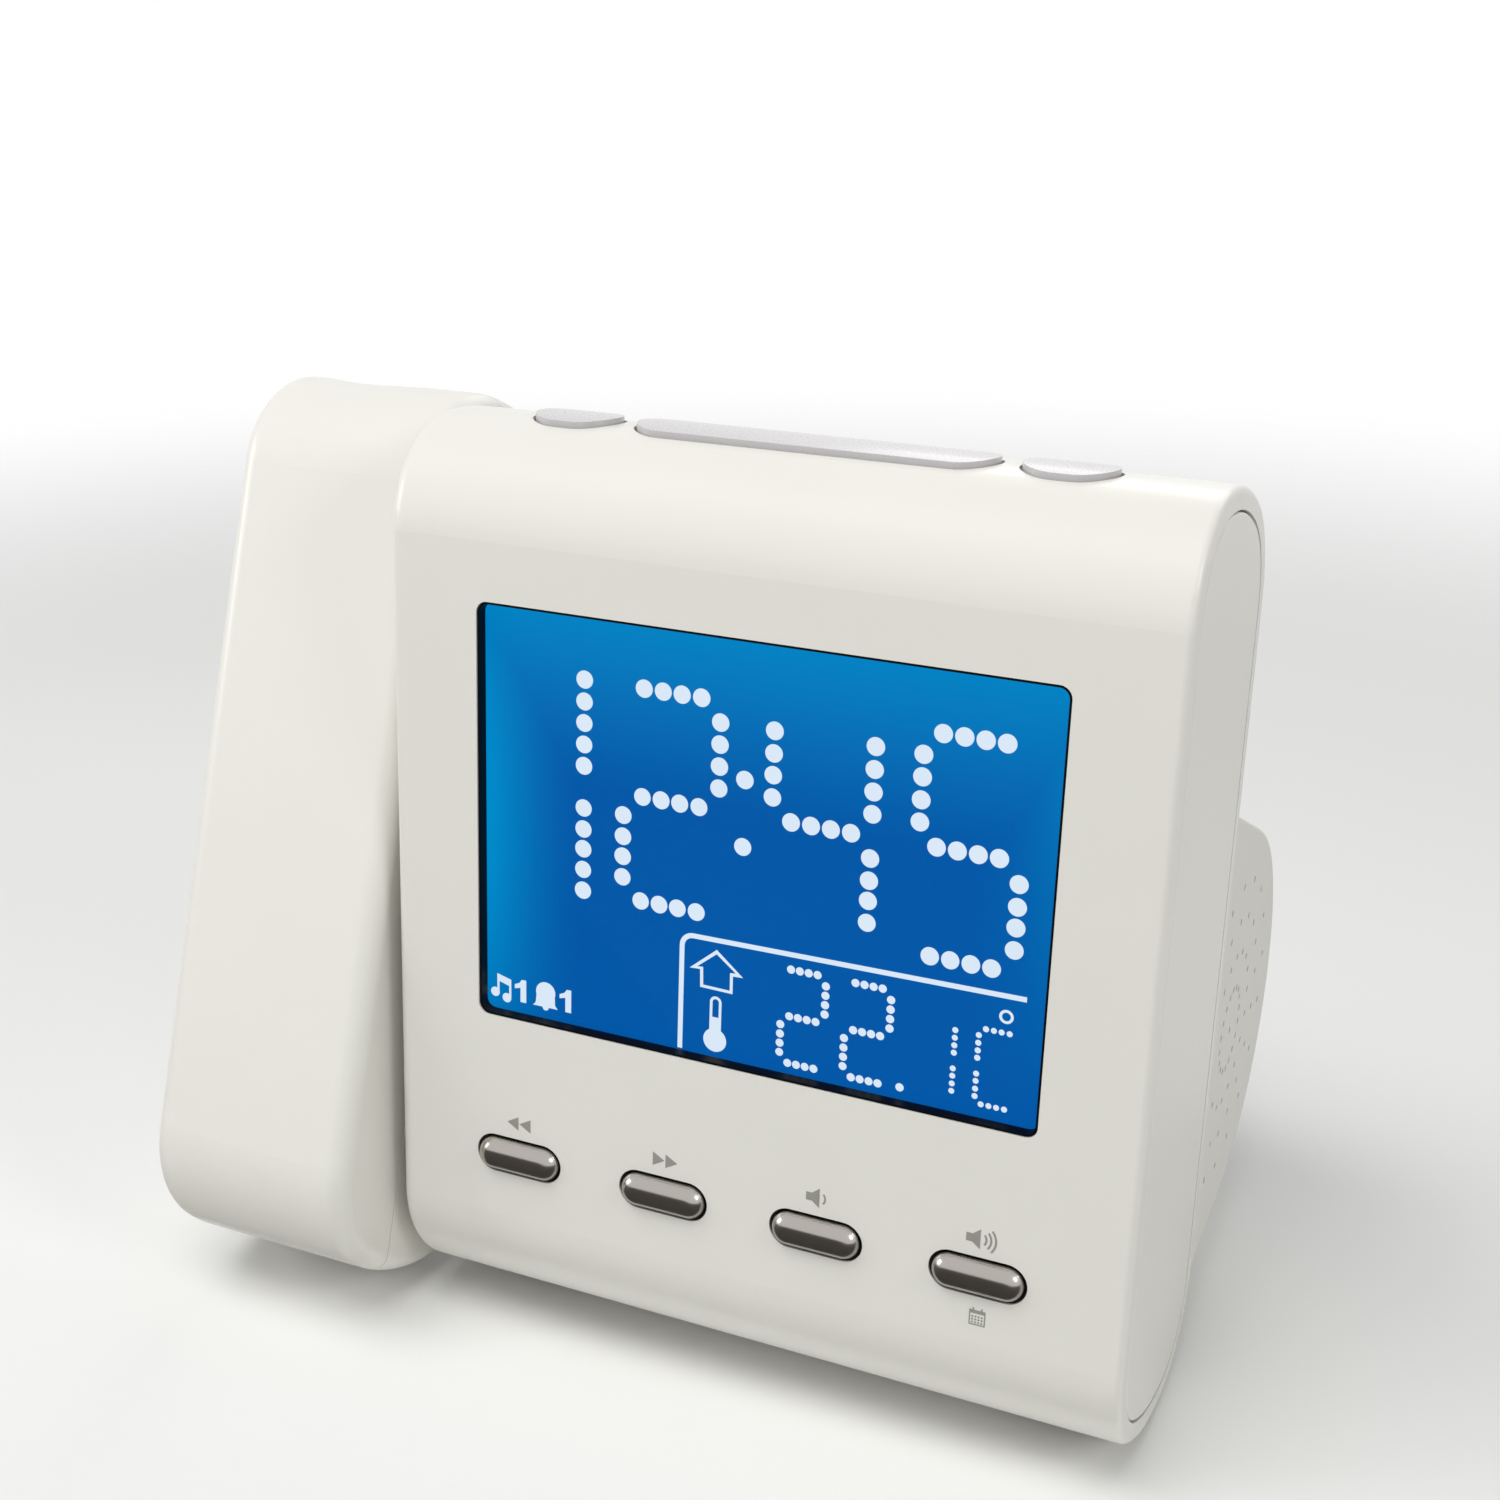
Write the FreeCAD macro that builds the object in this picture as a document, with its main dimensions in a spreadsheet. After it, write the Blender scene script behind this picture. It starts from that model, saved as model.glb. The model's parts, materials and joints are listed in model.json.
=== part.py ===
"""Projection alarm clock with a swivelling projector arm, modelled in millimetres.

The case is a leaning slab with a three-arc edge. Two frames share the pivot axis
of the arm: the panel frame, which leans back, and the arm frame, which leans
further. In both, X runs to the right along the pivot, Y runs to the back and Z
runs up the panel. The finished pieces are moved so that the origin lies at the
middle of the object, on the table.
"""
import FreeCAD
import Part
import Sketcher

import math
import os
import re
from types import SimpleNamespace

from FreeCAD import Placement, Rotation, Vector

doc = FreeCAD.newDocument("ProjectionAlarmClock")
sheet = doc.addObject("Spreadsheet::Sheet", "Dimensions")

# Driving dimensions: alias, value and what it means
DRIVING = [
    ("body_width", 130.8, "case along the pivot axis"),
    ("slab_height", 159.6, "case from edge to edge along the panel"),
    ("slab_depth", 50.0, "case from front to back"),
    ("front_round", 17.4, "arc from the front into the top"),
    ("heel_round", 20.9, "arc from the top into the back"),
    ("crown_round", 42.3, "flat arc over the top"),
    ("crown_shift", 6.1, "centre of the flat arc ahead of the middle plane"),
    ("wall", 2.2, "case wall"),
    ("case_edge", 1.2, "rounding of the right rim"),
    ("case_edge_left", 2.6, "rounding of the left rim"),
    ("lean", 4.42, "degrees that the panel leans back"),
    ("arm_tilt", 15.7, "degrees that the arm is swung back of the panel"),
    ("foot_gap", 1.5, "case above the table"),
    ("cap_rim", 3.6, "rim around an end cap"),
    ("cap_groove", 0.35, "groove around an end cap"),
    ("cap_thickness", 3.0, "end cap"),
    ("cap_ledge", 1.6, "ledge that an end cap rests on"),
    ("cap_ledge_depth", 1.8, "thickness of that ledge"),
    ("display_width", 98.0, "display opening"),
    ("display_drop", 27.1, "display opening below the top edge"),
    ("display_rise", 61.0, "display opening above the foot edge"),
    ("display_corner", 2.0, "corner of the display opening"),
    ("bezel_wall", 0.9, "dark lining of the opening"),
    ("bezel_recess", 0.25, "lining behind the front face"),
    ("fit_gap", 0.1, "gap around a fixed piece in its opening"),
    ("window_margin", 2.6, "window past the opening on each side"),
    ("window_thickness", 1.2, "clear window"),
    ("lcd_thickness", 1.8, "display glass"),
    ("lcd_inset", 1.9, "display glass inside the window edge"),
    ("guide_thickness", 3.0, "light guide"),
    ("tray_wall", 1.5, "tray around the glass"),
    ("tray_depth", 12.6, "tray from window to main board"),
    ("board_thickness", 1.6, "circuit boards"),
    ("main_board_width", 100.0, "main board"),
    ("main_board_past", 5.25, "main board past the display opening, above and below"),
    ("board_hole", 1.6, "radius of a board's fixing hole"),
    ("board_hole_margin", 4.0, "fixing hole from a board's edge"),
    ("key_pitch", 27.5, "front buttons, centre to centre"),
    ("key_rise", 35.3, "front buttons above the foot edge"),
    ("key_length", 15.4, "front button"),
    ("key_height", 6.1, "front button"),
    ("key_proud", 1.9, "front button out of the panel"),
    ("key_gap", 0.45, "gap around a button"),
    ("key_travel", 1.2, "stroke of the front and top buttons"),
    ("flange_margin", 1.2, "button flange past its slot"),
    ("flange_thickness", 1.0, "button flange"),
    ("flange_gap", 0.2, "flange behind the wall"),
    ("stem_radius", 1.5, "button stem"),
    ("stem_fit", 0.08, "stem in its switch"),
    ("switch_side", 6.0, "switch body"),
    ("switch_height", 3.5, "switch body"),
    ("over_travel", 0.3, "room left past a full stroke"),
    ("key_board_width", 100.0, "front key board"),
    ("key_board_height", 15.0, "front key board"),
    ("post_radius", 2.4, "posts that the key boards sit on"),
    ("top_key_space", 3.7, "between neighbouring top buttons"),
    ("top_key_length", 14.6, "outer top button"),
    ("top_bar_length", 60.0, "long top button"),
    ("top_key_depth", 12.0, "top buttons from front to back"),
    ("top_key_proud", 0.9, "top buttons out of the case"),
    ("top_key_shift", 5.5, "top buttons ahead of the middle plane"),
    ("top_key_reach", 12.0, "how far a top button is cut through the wall"),
    ("top_board_drop", 15.8, "underside of the top key board below the top edge"),
    ("top_board_margin", 1.65, "top key board past its posts"),
    ("top_board_depth", 20.0, "top key board"),
    ("cover_side", 4.5, "rim beside the rear cover"),
    ("cover_end", 3.0, "rim above and below the rear cover"),
    ("screw_post_radius", 3.6, "posts for the cover screws"),
    ("screw_side", 9.2, "cover screws from the case ends"),
    ("screw_inset", 6.3, "cover screws from the cover's upper and lower edges"),
    ("screw_radius", 1.15, "screw shank"),
    ("screw_head", 2.6, "screw head radius"),
    ("screw_head_height", 1.2, "screw head"),
    ("screw_length", 9.0, "screw shank"),
    ("screw_fit", 0.1, "gap around a screw"),
    ("set_key_radius", 4.0, "rear setting button"),
    ("set_key_pitch", 24.0, "rear setting buttons"),
    ("set_key_drop", 41.8, "rear setting buttons below the top edge"),
    ("set_key_proud", 1.0, "rear button out of the cover"),
    ("set_key_travel", 1.0, "rear button stroke"),
    ("set_board_width", 90.0, "rear key board"),
    ("set_board_height", 14.0, "rear key board"),
    ("pod_drop", 58.6, "speaker housing at the case, below the top edge"),
    ("pod_rise", 14.3, "speaker housing at the case, above the foot edge"),
    ("pod_narrowing", 6.75, "arc of the speaker housing under half its height at the case"),
    ("pod_back", 14.1, "middle of that arc behind the case"),
    ("pod_sag", 2.05, "middle of that arc under the middle of the housing"),
    ("pod_width", 87.0, "speaker housing along the case"),
    ("pod_inset", 0.4, "speaker housing inside the right end"),
    ("pod_edge", 1.6, "rounding of the speaker housing"),
    ("pod_window", 7.0, "rim of the opening into the speaker housing"),
    ("grille_back", 14.3, "middle of the sound holes behind the case"),
    ("grille_raise", 0.7, "middle of the sound holes above the middle of the arc"),
    ("grille_first", 7.5, "radius of the first ring of holes"),
    ("grille_rim", 9.81, "outer ring of holes inside the arc"),
    ("grille_rings", 4, "rings of holes"),
    ("grille_count", 18, "holes in a ring"),
    ("grille_hole", 0.62, "radius of a sound hole"),
    ("grille_clear", 3.4, "first holes behind the case"),
    ("speaker_rim", 2.85, "loudspeaker's radius under half the depth of its housing"),
    ("speaker_clear", 2.5, "loudspeaker behind the case"),
    ("speaker_depth", 12.6, "loudspeaker frame"),
    ("speaker_sheet", 1.2, "sheet of the loudspeaker's basket"),
    ("speaker_ring", 3.0, "flange of the basket"),
    ("speaker_hole", 4.5, "radius of the hole in the basket's back"),
    ("cone_sheet", 0.6, "paper of the cone"),
    ("cone_cup", 5.4, "radius of the cone's cup"),
    ("magnet_share", 0.62, "magnet radius over the loudspeaker's"),
    ("magnet_depth", 8.0, "loudspeaker magnet"),
    ("leg_width", 9.0, "rear leg"),
    ("leg_front", 50.0, "rear leg starts behind the middle plane"),
    ("leg_depth", 14.0, "rear leg"),
    ("leg_side", 12.0, "rear legs from the ends of the speaker housing"),
    ("foot_front", 3.0, "front feet start ahead of the middle plane"),
    ("foot_depth", 12.0, "front foot"),
    ("foot_width", 14.0, "front foot"),
    ("foot_side", 16.0, "front feet from the case ends"),
    ("door_radius", 12.3, "battery door"),
    ("door_thickness", 1.8, "battery door"),
    ("door_side", 23.0, "battery door from the left end"),
    ("door_low", 10.0, "battery door below the pivot"),
    ("door_gap", 0.2, "gap around the battery door"),
    ("cell_radius", 10.0, "coin cell"),
    ("cell_thickness", 3.2, "coin cell"),
    ("holder_side", 29.0, "cell holder"),
    ("holder_depth", 6.0, "cell holder"),
    ("inlet_side", 19.4, "power inlet from the left end"),
    ("inlet_rise", 31.8, "power inlet above the foot edge"),
    ("inlet_bore", 2.8, "radius of the inlet"),
    ("inlet_pin", 1.0, "radius of the inlet pin"),
    ("inlet_depth", 9.5, "depth of the inlet"),
    ("inlet_barrel", 4.2, "inlet barrel radius"),
    ("inlet_body", 11.0, "inlet body side"),
    ("gland_radius", 2.4, "aerial gland"),
    ("gland_bore", 0.9, "aerial gland bore radius"),
    ("gland_lip", 1.2, "aerial gland lip"),
    ("arm_width", 40.2, "projector arm along the pivot"),
    ("arm_gap", 2.4, "gap between case and arm"),
    ("arm_edge", 3.6, "rounding of the arm"),
    ("arm_split", 6.0, "seam of the arm ahead of its middle plane"),
    ("seam_gap", 0.2, "visible seam of the arm"),
    ("hub_radius", 8.0, "pivot shaft"),
    ("hub_fit", 0.06, "running fit of the pivot"),
    ("hub_bore", 4.5, "wire passage through the pivot"),
    ("hub_flange", 14.0, "pivot flange radius"),
    ("hub_flange_thickness", 2.0, "pivot flange"),
    ("bearing_radius", 13.0, "bearing boss in the left cap"),
    ("bearing_length", 6.0, "bearing boss behind the left cap"),
    ("collar_radius", 15.5, "collar between case and arm"),
    ("collar_gap", 0.2, "arm clear of the collar"),
    ("clip_groove", 0.8, "depth of the clip groove"),
    ("clip_thickness", 1.2, "pivot clip"),
    ("washer_thickness", 0.8, "friction washer"),
    ("washer_radius", 12.0, "friction washer"),
    ("lens_side", 3.1, "optical axis left of the arm's middle"),
    ("lens_front", 4.0, "optical axis ahead of the arm's middle plane"),
    ("dish_radius", 12.0, "hollow around the lens"),
    ("dish_depth", 2.2, "hollow around the lens"),
    ("lens_mouth", 8.6, "opening over the lens"),
    ("barrel_radius", 9.5, "focus barrel"),
    ("barrel_wall", 1.5, "focus barrel"),
    ("barrel_drop", 6.8, "barrel top below the top edge"),
    ("barrel_length", 21.5, "focus barrel"),
    ("barrel_fit", 0.06, "running fit of the barrel"),
    ("focus_travel", 1.5, "barrel each way"),
    ("lens_thickness", 4.0, "lenses"),
    ("lens_bulge", 26.0, "radius of a lens face"),
    ("wheel_radius", 17.9, "focus wheel"),
    ("wheel_thickness", 7.0, "focus wheel"),
    ("wheel_drop", 21.3, "underside of the focus wheel below the top edge"),
    ("wheel_gap", 0.5, "room around the focus wheel"),
    ("wheel_notches", 24, "grips around the focus wheel"),
    ("wheel_notch", 0.8, "radius of a grip"),
    ("bracket_plate", 2.0, "lens bracket plates"),
    ("bracket_side", 22.0, "lens bracket width"),
    ("tunnel_side", 20.0, "light tunnel"),
    ("tunnel_wall", 2.0, "light tunnel"),
    ("tunnel_low", 24.0, "light tunnel above the pivot"),
    ("tunnel_drop", 31.8, "top of the light tunnel below the top edge"),
    ("slide_thickness", 1.2, "time slide"),
    ("lamp_radius", 2.5, "lamp"),
    ("lamp_height", 5.0, "lamp"),
    ("condenser_low", 10.0, "condenser above the tunnel's foot"),
    ("condenser_thickness", 4.0, "condenser"),
    ("arm_screw_side", 6.4, "arm screws from the arm's sides"),
    ("arm_screw_space", 1.9, "upper arm screw posts under the lamp board"),
    ("arm_screw_rise", 3.4, "lower arm screws above the end of the flat back"),
    ("arm_post_radius", 3.0, "posts for the arm screws"),
]

for row, (alias, value, note) in enumerate(DRIVING, start=1):
    sheet.set(f"A{row}", alias)
    sheet.set(f"B{row}", str(value))
    sheet.set(f"C{row}", note)
    sheet.setAlias(f"B{row}", alias)
doc.recompute()

d = SimpleNamespace(**{alias: float(sheet.get(alias)) for alias, _, _ in DRIVING})

# Planes and places that several pieces share
END = d.body_width / 2
BACK = d.slab_depth / 2
INNER = BACK - d.wall
ARM_RIGHT = -END - d.arm_gap
ARM_LEFT = ARM_RIGHT - d.arm_width
ARM_MIDDLE = (ARM_LEFT + ARM_RIGHT) / 2
LENS_X = ARM_MIDDLE - d.lens_side
LENS_Y = -d.lens_front
TOP = d.slab_height / 2
POD_RIGHT = END - d.pod_inset
POD_LEFT = POD_RIGHT - d.pod_width
POD_TOP = TOP - d.pod_drop
POD_BOTTOM = -TOP + d.pod_rise
POD_ROUND = (POD_TOP - POD_BOTTOM) / 2 - d.pod_narrowing
POD_CENTRE = Vector(0, BACK + d.pod_back, (POD_TOP + POD_BOTTOM) / 2 - d.pod_sag)
SPEAKER_RADIUS = (d.pod_back + POD_ROUND) / 2 - d.speaker_rim
DISPLAY_HEIGHT = d.slab_height - d.display_drop - d.display_rise
DISPLAY_CENTRE = (d.display_rise - d.display_drop) / 2
KEY_LEVEL = -TOP + d.key_rise
SET_LEVEL = TOP - d.set_key_drop
INLET_LEVEL = -TOP + d.inlet_rise
TOP_KEY_OFFSET = d.top_bar_length / 2 + d.top_key_space + d.top_key_length / 2
BARREL_TOP = TOP - d.barrel_drop
BARREL_LOW = BARREL_TOP - d.barrel_length
WHEEL_LOW = TOP - d.wheel_drop
WHEEL_TOP = WHEEL_LOW + d.wheel_thickness
TUNNEL_TOP = TOP - d.tunnel_drop
LEAN = math.radians(d.lean)

panel_frame = Placement(Vector(), Rotation(Vector(1, 0, 0), -d.lean))
arm_frame = Placement(Vector(), Rotation(Vector(1, 0, 0), -d.lean - d.arm_tilt))

nodes = []


def node(obj, name, frame, at=Vector(), turn=Rotation()):
    """Name a finished piece and put it into its frame."""
    obj.Label = name
    obj.Placement = frame.multiply(Placement(at, turn))
    nodes.append(obj)
    return obj


def feature(name, shape, frame):
    """A piece whose outline is worked out here from the sheet."""
    obj = doc.addObject("Part::Feature", name)
    obj.Shape = shape
    return node(obj, name, frame)


def bound(text):
    """Turn aliases in an expression into references to the sheet."""
    return re.sub(r"[a-z][a-z_]+", lambda m: "Dimensions." + m.group(0), text)


def block(name, length, width, height):
    """A box whose three sizes are expressions in the sheet's aliases."""
    obj = doc.addObject("Part::Box", name)
    for side, text in zip(("Length", "Width", "Height"), (length, width, height)):
        obj.setExpression(side, bound(text))
    return obj


def rod(name, radius, height):
    """A cylinder whose two sizes are expressions in the sheet's aliases."""
    obj = doc.addObject("Part::Cylinder", name)
    obj.setExpression("Radius", bound(radius))
    obj.setExpression("Height", bound(height))
    return obj


def origin_plane(body, role):
    """The plane of a body's own origin with the given role."""
    return next(f for f in body.Origin.OriginFeatures if f.Role == role)


def flat_sketch(body, name):
    """An empty sketch on the body's own XY plane."""
    sketch = body.newObject("Sketcher::SketchObject", name)
    sketch.AttachmentSupport = [(origin_plane(body, "XY_Plane"), "")]
    sketch.MapMode = "FlatFace"
    return sketch


def board(name, width, height, thickness="board_thickness"):
    """A circuit board: a padded rectangle about its middle, with two fixing holes."""
    body = doc.addObject("PartDesign::Body", name)
    sketch = flat_sketch(body, name + "_outline")
    half_w, half_h = 10.0, 5.0
    corners = [(-half_w, -half_h), (half_w, -half_h), (half_w, half_h), (-half_w, half_h)]
    for i in range(4):
        start = Vector(*corners[i], 0)
        end = Vector(*corners[(i + 1) % 4], 0)
        sketch.addGeometry(Part.LineSegment(start, end), False)
    for i in range(4):
        sketch.addConstraint(Sketcher.Constraint("Coincident", i, 2, (i + 1) % 4, 1))
    for i in (0, 2):
        sketch.addConstraint(Sketcher.Constraint("Horizontal", i))
    for i in (1, 3):
        sketch.addConstraint(Sketcher.Constraint("Vertical", i))
    sketch.addConstraint(Sketcher.Constraint("Symmetric", 0, 1, 2, 1, -1, 1))
    wide = sketch.addConstraint(Sketcher.Constraint("Distance", 0, 2 * half_w))
    high = sketch.addConstraint(Sketcher.Constraint("Distance", 1, 2 * half_h))
    sketch.setExpression(f"Constraints[{wide}]", bound(width))
    sketch.setExpression(f"Constraints[{high}]", bound(height))
    for side in (-1, 1):
        circle = sketch.addGeometry(Part.Circle(Vector(side * 5, 0, 0), Vector(0, 0, 1), 1), False)
        sketch.addConstraint(Sketcher.Constraint("PointOnObject", circle, 3, -1))
        across = sketch.addConstraint(Sketcher.Constraint("DistanceX", circle, 3, -side * 5))
        radius = sketch.addConstraint(Sketcher.Constraint("Radius", circle, 1))
        reach = f"{-side} * ({width}) / 2 + {side} * board_hole_margin"
        sketch.setExpression(f"Constraints[{across}]", bound(reach))
        sketch.setExpression(f"Constraints[{radius}]", bound("board_hole"))
    pad = body.newObject("PartDesign::Pad", name + "_pad")
    pad.Profile = sketch
    pad.setExpression("Length", bound(thickness))
    return body


def unit(vector):
    return vector * (1 / vector.Length)


def arc(centre, radius, start, end):
    """The short arc about a centre from one point to another."""
    middle = centre + unit((start - centre) + (end - centre)) * radius
    return Part.Arc(start, middle, end).toShape()


def line(start, end):
    return Part.LineSegment(start, end).toShape()


def yz(y, z):
    return Vector(0, y, z)


def round_centres():
    """Centres of the front round, the flat crown and the heel round at the top."""
    crown = yz(-d.crown_shift, d.slab_height / 2 - d.crown_round)
    front_y = -BACK + d.front_round
    heel_y = BACK - d.heel_round
    front_rise = math.sqrt((d.crown_round - d.front_round) ** 2 - (front_y - crown.y) ** 2)
    heel_rise = math.sqrt((d.crown_round - d.heel_round) ** 2 - (heel_y - crown.y) ** 2)
    return yz(front_y, crown.z + front_rise), crown, yz(heel_y, crown.z + heel_rise)


FRONT_ROUND, CROWN, HEEL_ROUND = round_centres()


def slab_face(inset):
    """The slab's end outline, drawn in by a distance. Its foot is its top turned over."""
    radii = (d.front_round - inset, d.crown_round - inset, d.heel_round - inset)
    to_front = unit(FRONT_ROUND - CROWN)
    to_heel = unit(HEEL_ROUND - CROWN)
    edge = BACK - inset
    stops = [
        yz(-edge, FRONT_ROUND.z),
        CROWN + to_front * radii[1],
        CROWN + to_heel * radii[1],
        yz(edge, HEEL_ROUND.z),
    ]
    top = []
    for i, centre in enumerate((FRONT_ROUND, CROWN, HEEL_ROUND)):
        top.append(arc(centre, radii[i], stops[i], stops[i + 1]))
    turned = [yz(-p.y, -p.z) for p in stops]
    foot = []
    for i, centre in enumerate((FRONT_ROUND, CROWN, HEEL_ROUND)):
        foot.append(arc(yz(-centre.y, -centre.z), radii[i], turned[i], turned[i + 1]))
    edges = top + [line(stops[3], turned[0])] + foot + [line(turned[3], stops[0])]
    return Part.Face(Part.Wire(edges))


def along_x(face, start, end):
    """Extrude a face of the YZ plane from one X to another."""
    moved = face.copy()
    moved.translate(Vector(start, 0, 0))
    return moved.extrude(Vector(end - start, 0, 0))


def slab(inset, start, end):
    return along_x(slab_face(inset), start, end)


def cuboid(x, y, z):
    """A box from three pairs of limits."""
    return Part.makeBox(x[1] - x[0], y[1] - y[0], z[1] - z[0], Vector(x[0], y[0], z[0]))


def tube(radius, start, end):
    """A cylinder from one point to another."""
    return Part.makeCylinder(radius, (end - start).Length, start, end - start)


def pill_face(length, height, radius):
    """A rounded rectangle in the XZ plane about the origin."""
    half_l, half_h = length / 2, height / 2
    radius = min(radius, half_h, half_l)
    turn = radius * (1 - math.sqrt(0.5))
    edges = []
    corners = [(1, 1), (-1, 1), (-1, -1), (1, -1)]
    points = []
    for sx, sz in corners:
        beside = Vector(sx * half_l, 0, sz * (half_h - radius))
        bend = Vector(sx * (half_l - turn), 0, sz * (half_h - turn))
        above = Vector(sx * (half_l - radius), 0, sz * half_h)
        points.append((beside, bend, above) if sx * sz > 0 else (above, bend, beside))
    for i, (start, bend, end) in enumerate(points):
        edges.append(Part.Arc(start, bend, end).toShape())
        following = points[(i + 1) % 4][0]
        if (following - end).Length > 1e-3:
            edges.append(line(end, following))
    return Part.Face(Part.Wire(Part.__sortEdges__(edges)))


def pill_y(length, height, radius, x, z, start, end):
    """A rounded bar that runs along Y."""
    face = pill_face(length, height, radius)
    face.translate(Vector(x, start, z))
    return face.extrude(Vector(0, end - start, 0))


def pill_z(length, depth, radius, x, y, start, end):
    """A rounded bar that runs along Z."""
    face = pill_face(length, depth, radius)
    face.rotate(Vector(), Vector(1, 0, 0), -90)
    face.translate(Vector(x, y, start))
    return face.extrude(Vector(0, 0, end - start))


def rim_edges(shape, x):
    """Edges of a solid that lie in the plane at the given X."""
    return [e for e in shape.Edges if all(abs(v.Point.x - x) < 1e-6 for v in e.Vertexes)]


def table_height(y):
    """Height of the table in the panel frame at a given Y."""
    return y * math.tan(LEAN) - PIVOT_HEIGHT / math.cos(LEAN)


# The lowest point of the slab is on the crown arc turned over
PIVOT_HEIGHT = CROWN.z * math.cos(LEAN) - CROWN.y * math.sin(LEAN) + d.crown_round + d.foot_gap

# Places of repeated pieces
KEY_X = [(i - 1.5) * d.key_pitch for i in range(4)]
SET_X = [(i - 1.5) * d.set_key_pitch for i in range(4)]
TOP_KEYS = [
    ("left", -TOP_KEY_OFFSET, d.top_key_length),
    ("bar", 0.0, d.top_bar_length),
    ("right", TOP_KEY_OFFSET, d.top_key_length),
]
COVER_X = END - d.cover_side
COVER_TOP = HEEL_ROUND.z - d.cover_end
COVER_BOTTOM = -FRONT_ROUND.z + d.cover_end
SCREW_X = END - d.screw_side
SCREW_LEVELS = (COVER_TOP - d.screw_inset, COVER_BOTTOM + d.screw_inset)
COVER_SCREWS = [(side * SCREW_X, z) for side in (-1, 1) for z in SCREW_LEVELS]
DOOR = Vector(-END + d.door_side, 0, -d.door_low)
INLET = Vector(-END + d.inlet_side, 0, INLET_LEVEL)
GLAND = Vector((INLET.x + d.inlet_body / 2 + POD_LEFT) / 2, 0, INLET_LEVEL)
GRILLE = Vector(POD_RIGHT, BACK + d.grille_back, POD_CENTRE.z + d.grille_raise)
SPEAKER = Vector(POD_RIGHT - d.wall, BACK + d.speaker_clear + SPEAKER_RADIUS, GRILLE.z)
KEY_SWITCH_FRONT = -INNER + d.flange_gap + d.flange_thickness + d.key_travel + d.over_travel
KEY_BOARD_FRONT = KEY_SWITCH_FRONT + d.switch_height
SET_SWITCH_BACK = INNER - d.flange_gap - d.flange_thickness - d.set_key_travel - d.over_travel
SET_BOARD_BACK = SET_SWITCH_BACK - d.switch_height
TOP_BOARD_LOW = TOP - d.top_board_drop
TOP_BOARD_TOP = TOP_BOARD_LOW + d.board_thickness
TOP_POST_X = (TOP_KEY_OFFSET + d.top_key_length / 2 + END - d.cap_thickness) / 2


def front_housing():
    """The wrap-round case with its openings and screw posts."""
    solid = slab(0, -END, END)
    solid = solid.makeFillet(d.case_edge, rim_edges(solid, END))
    solid = solid.makeFillet(d.case_edge_left, rim_edges(solid, -END))
    ends = END - d.cap_thickness
    cavity = slab(d.wall, -ends + d.cap_ledge_depth, ends - d.cap_ledge_depth)
    ledge = slab(d.cap_rim + d.cap_ledge, -END - 1, END + 1)
    right_seat = slab(d.cap_rim, ends, END + 1)
    left_seat = slab(d.cap_rim, -END - 1, -ends)
    rear_window = cuboid((-COVER_X, COVER_X), (INNER - 1, BACK + 1), (COVER_BOTTOM, COVER_TOP))
    display = pill_y(
        d.display_width, DISPLAY_HEIGHT, d.display_corner,
        0, DISPLAY_CENTRE, -BACK - 1, -INNER + 1,
    )
    cuts = [cavity, ledge, right_seat, left_seat, rear_window, display]
    slot_h = d.key_height + 2 * d.key_gap
    slot_l = d.key_length + 2 * d.key_gap
    for x in KEY_X:
        cuts.append(pill_y(slot_l, slot_h, slot_h / 2, x, KEY_LEVEL, -BACK - 1, -INNER + 1))
    for _, x, length in TOP_KEYS:
        opening = length + 2 * d.key_gap
        depth = d.top_key_depth + 2 * d.key_gap
        low = TOP - d.top_key_reach
        cuts.append(pill_z(opening, depth, depth / 2, x, -d.top_key_shift, low, TOP + 1))
    solid = solid.cut(cuts)
    posts = []
    holes = []
    for x, z in COVER_SCREWS:
        foot = Vector(x, -BACK + d.wall / 2, z)
        seat = Vector(x, INNER, z)
        posts.append(tube(d.screw_post_radius, foot, seat))
        holes.append(tube(d.screw_radius + d.screw_fit, seat - Vector(0, d.screw_length + 1, 0), seat))
    for x in (-d.key_pitch, 0, d.key_pitch):
        foot = Vector(x, -BACK + d.wall / 2, KEY_LEVEL)
        posts.append(tube(d.post_radius, foot, Vector(x, KEY_BOARD_FRONT, KEY_LEVEL)))
    for x in (-TOP_POST_X, TOP_POST_X):
        high = Vector(x, -d.top_key_shift, TOP - d.wall / 2)
        posts.append(tube(d.post_radius, Vector(x, -d.top_key_shift, TOP_BOARD_TOP), high))
    return solid.fuse(posts).cut(holes).removeSplitter()


def end_cap(outer, inner):
    """A plate that fills the end of the case, between two X planes."""
    return slab(d.cap_rim + d.cap_groove, outer, inner)


def left_end_cap():
    """The left cap, with the bearing of the arm's pivot."""
    plate = end_cap(-END, -END + d.cap_thickness)
    collar = tube(d.collar_radius, Vector(ARM_RIGHT + d.collar_gap, 0, 0), Vector(-END + 1, 0, 0))
    boss_end = Vector(-END + d.cap_thickness + d.bearing_length, 0, 0)
    boss = tube(d.bearing_radius, Vector(-END + 1, 0, 0), boss_end)
    bore = tube(d.hub_radius + d.hub_fit, Vector(ARM_RIGHT, 0, 0), boss_end + Vector(1, 0, 0))
    return plate.fuse([collar, boss]).cut(bore).removeSplitter()


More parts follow.
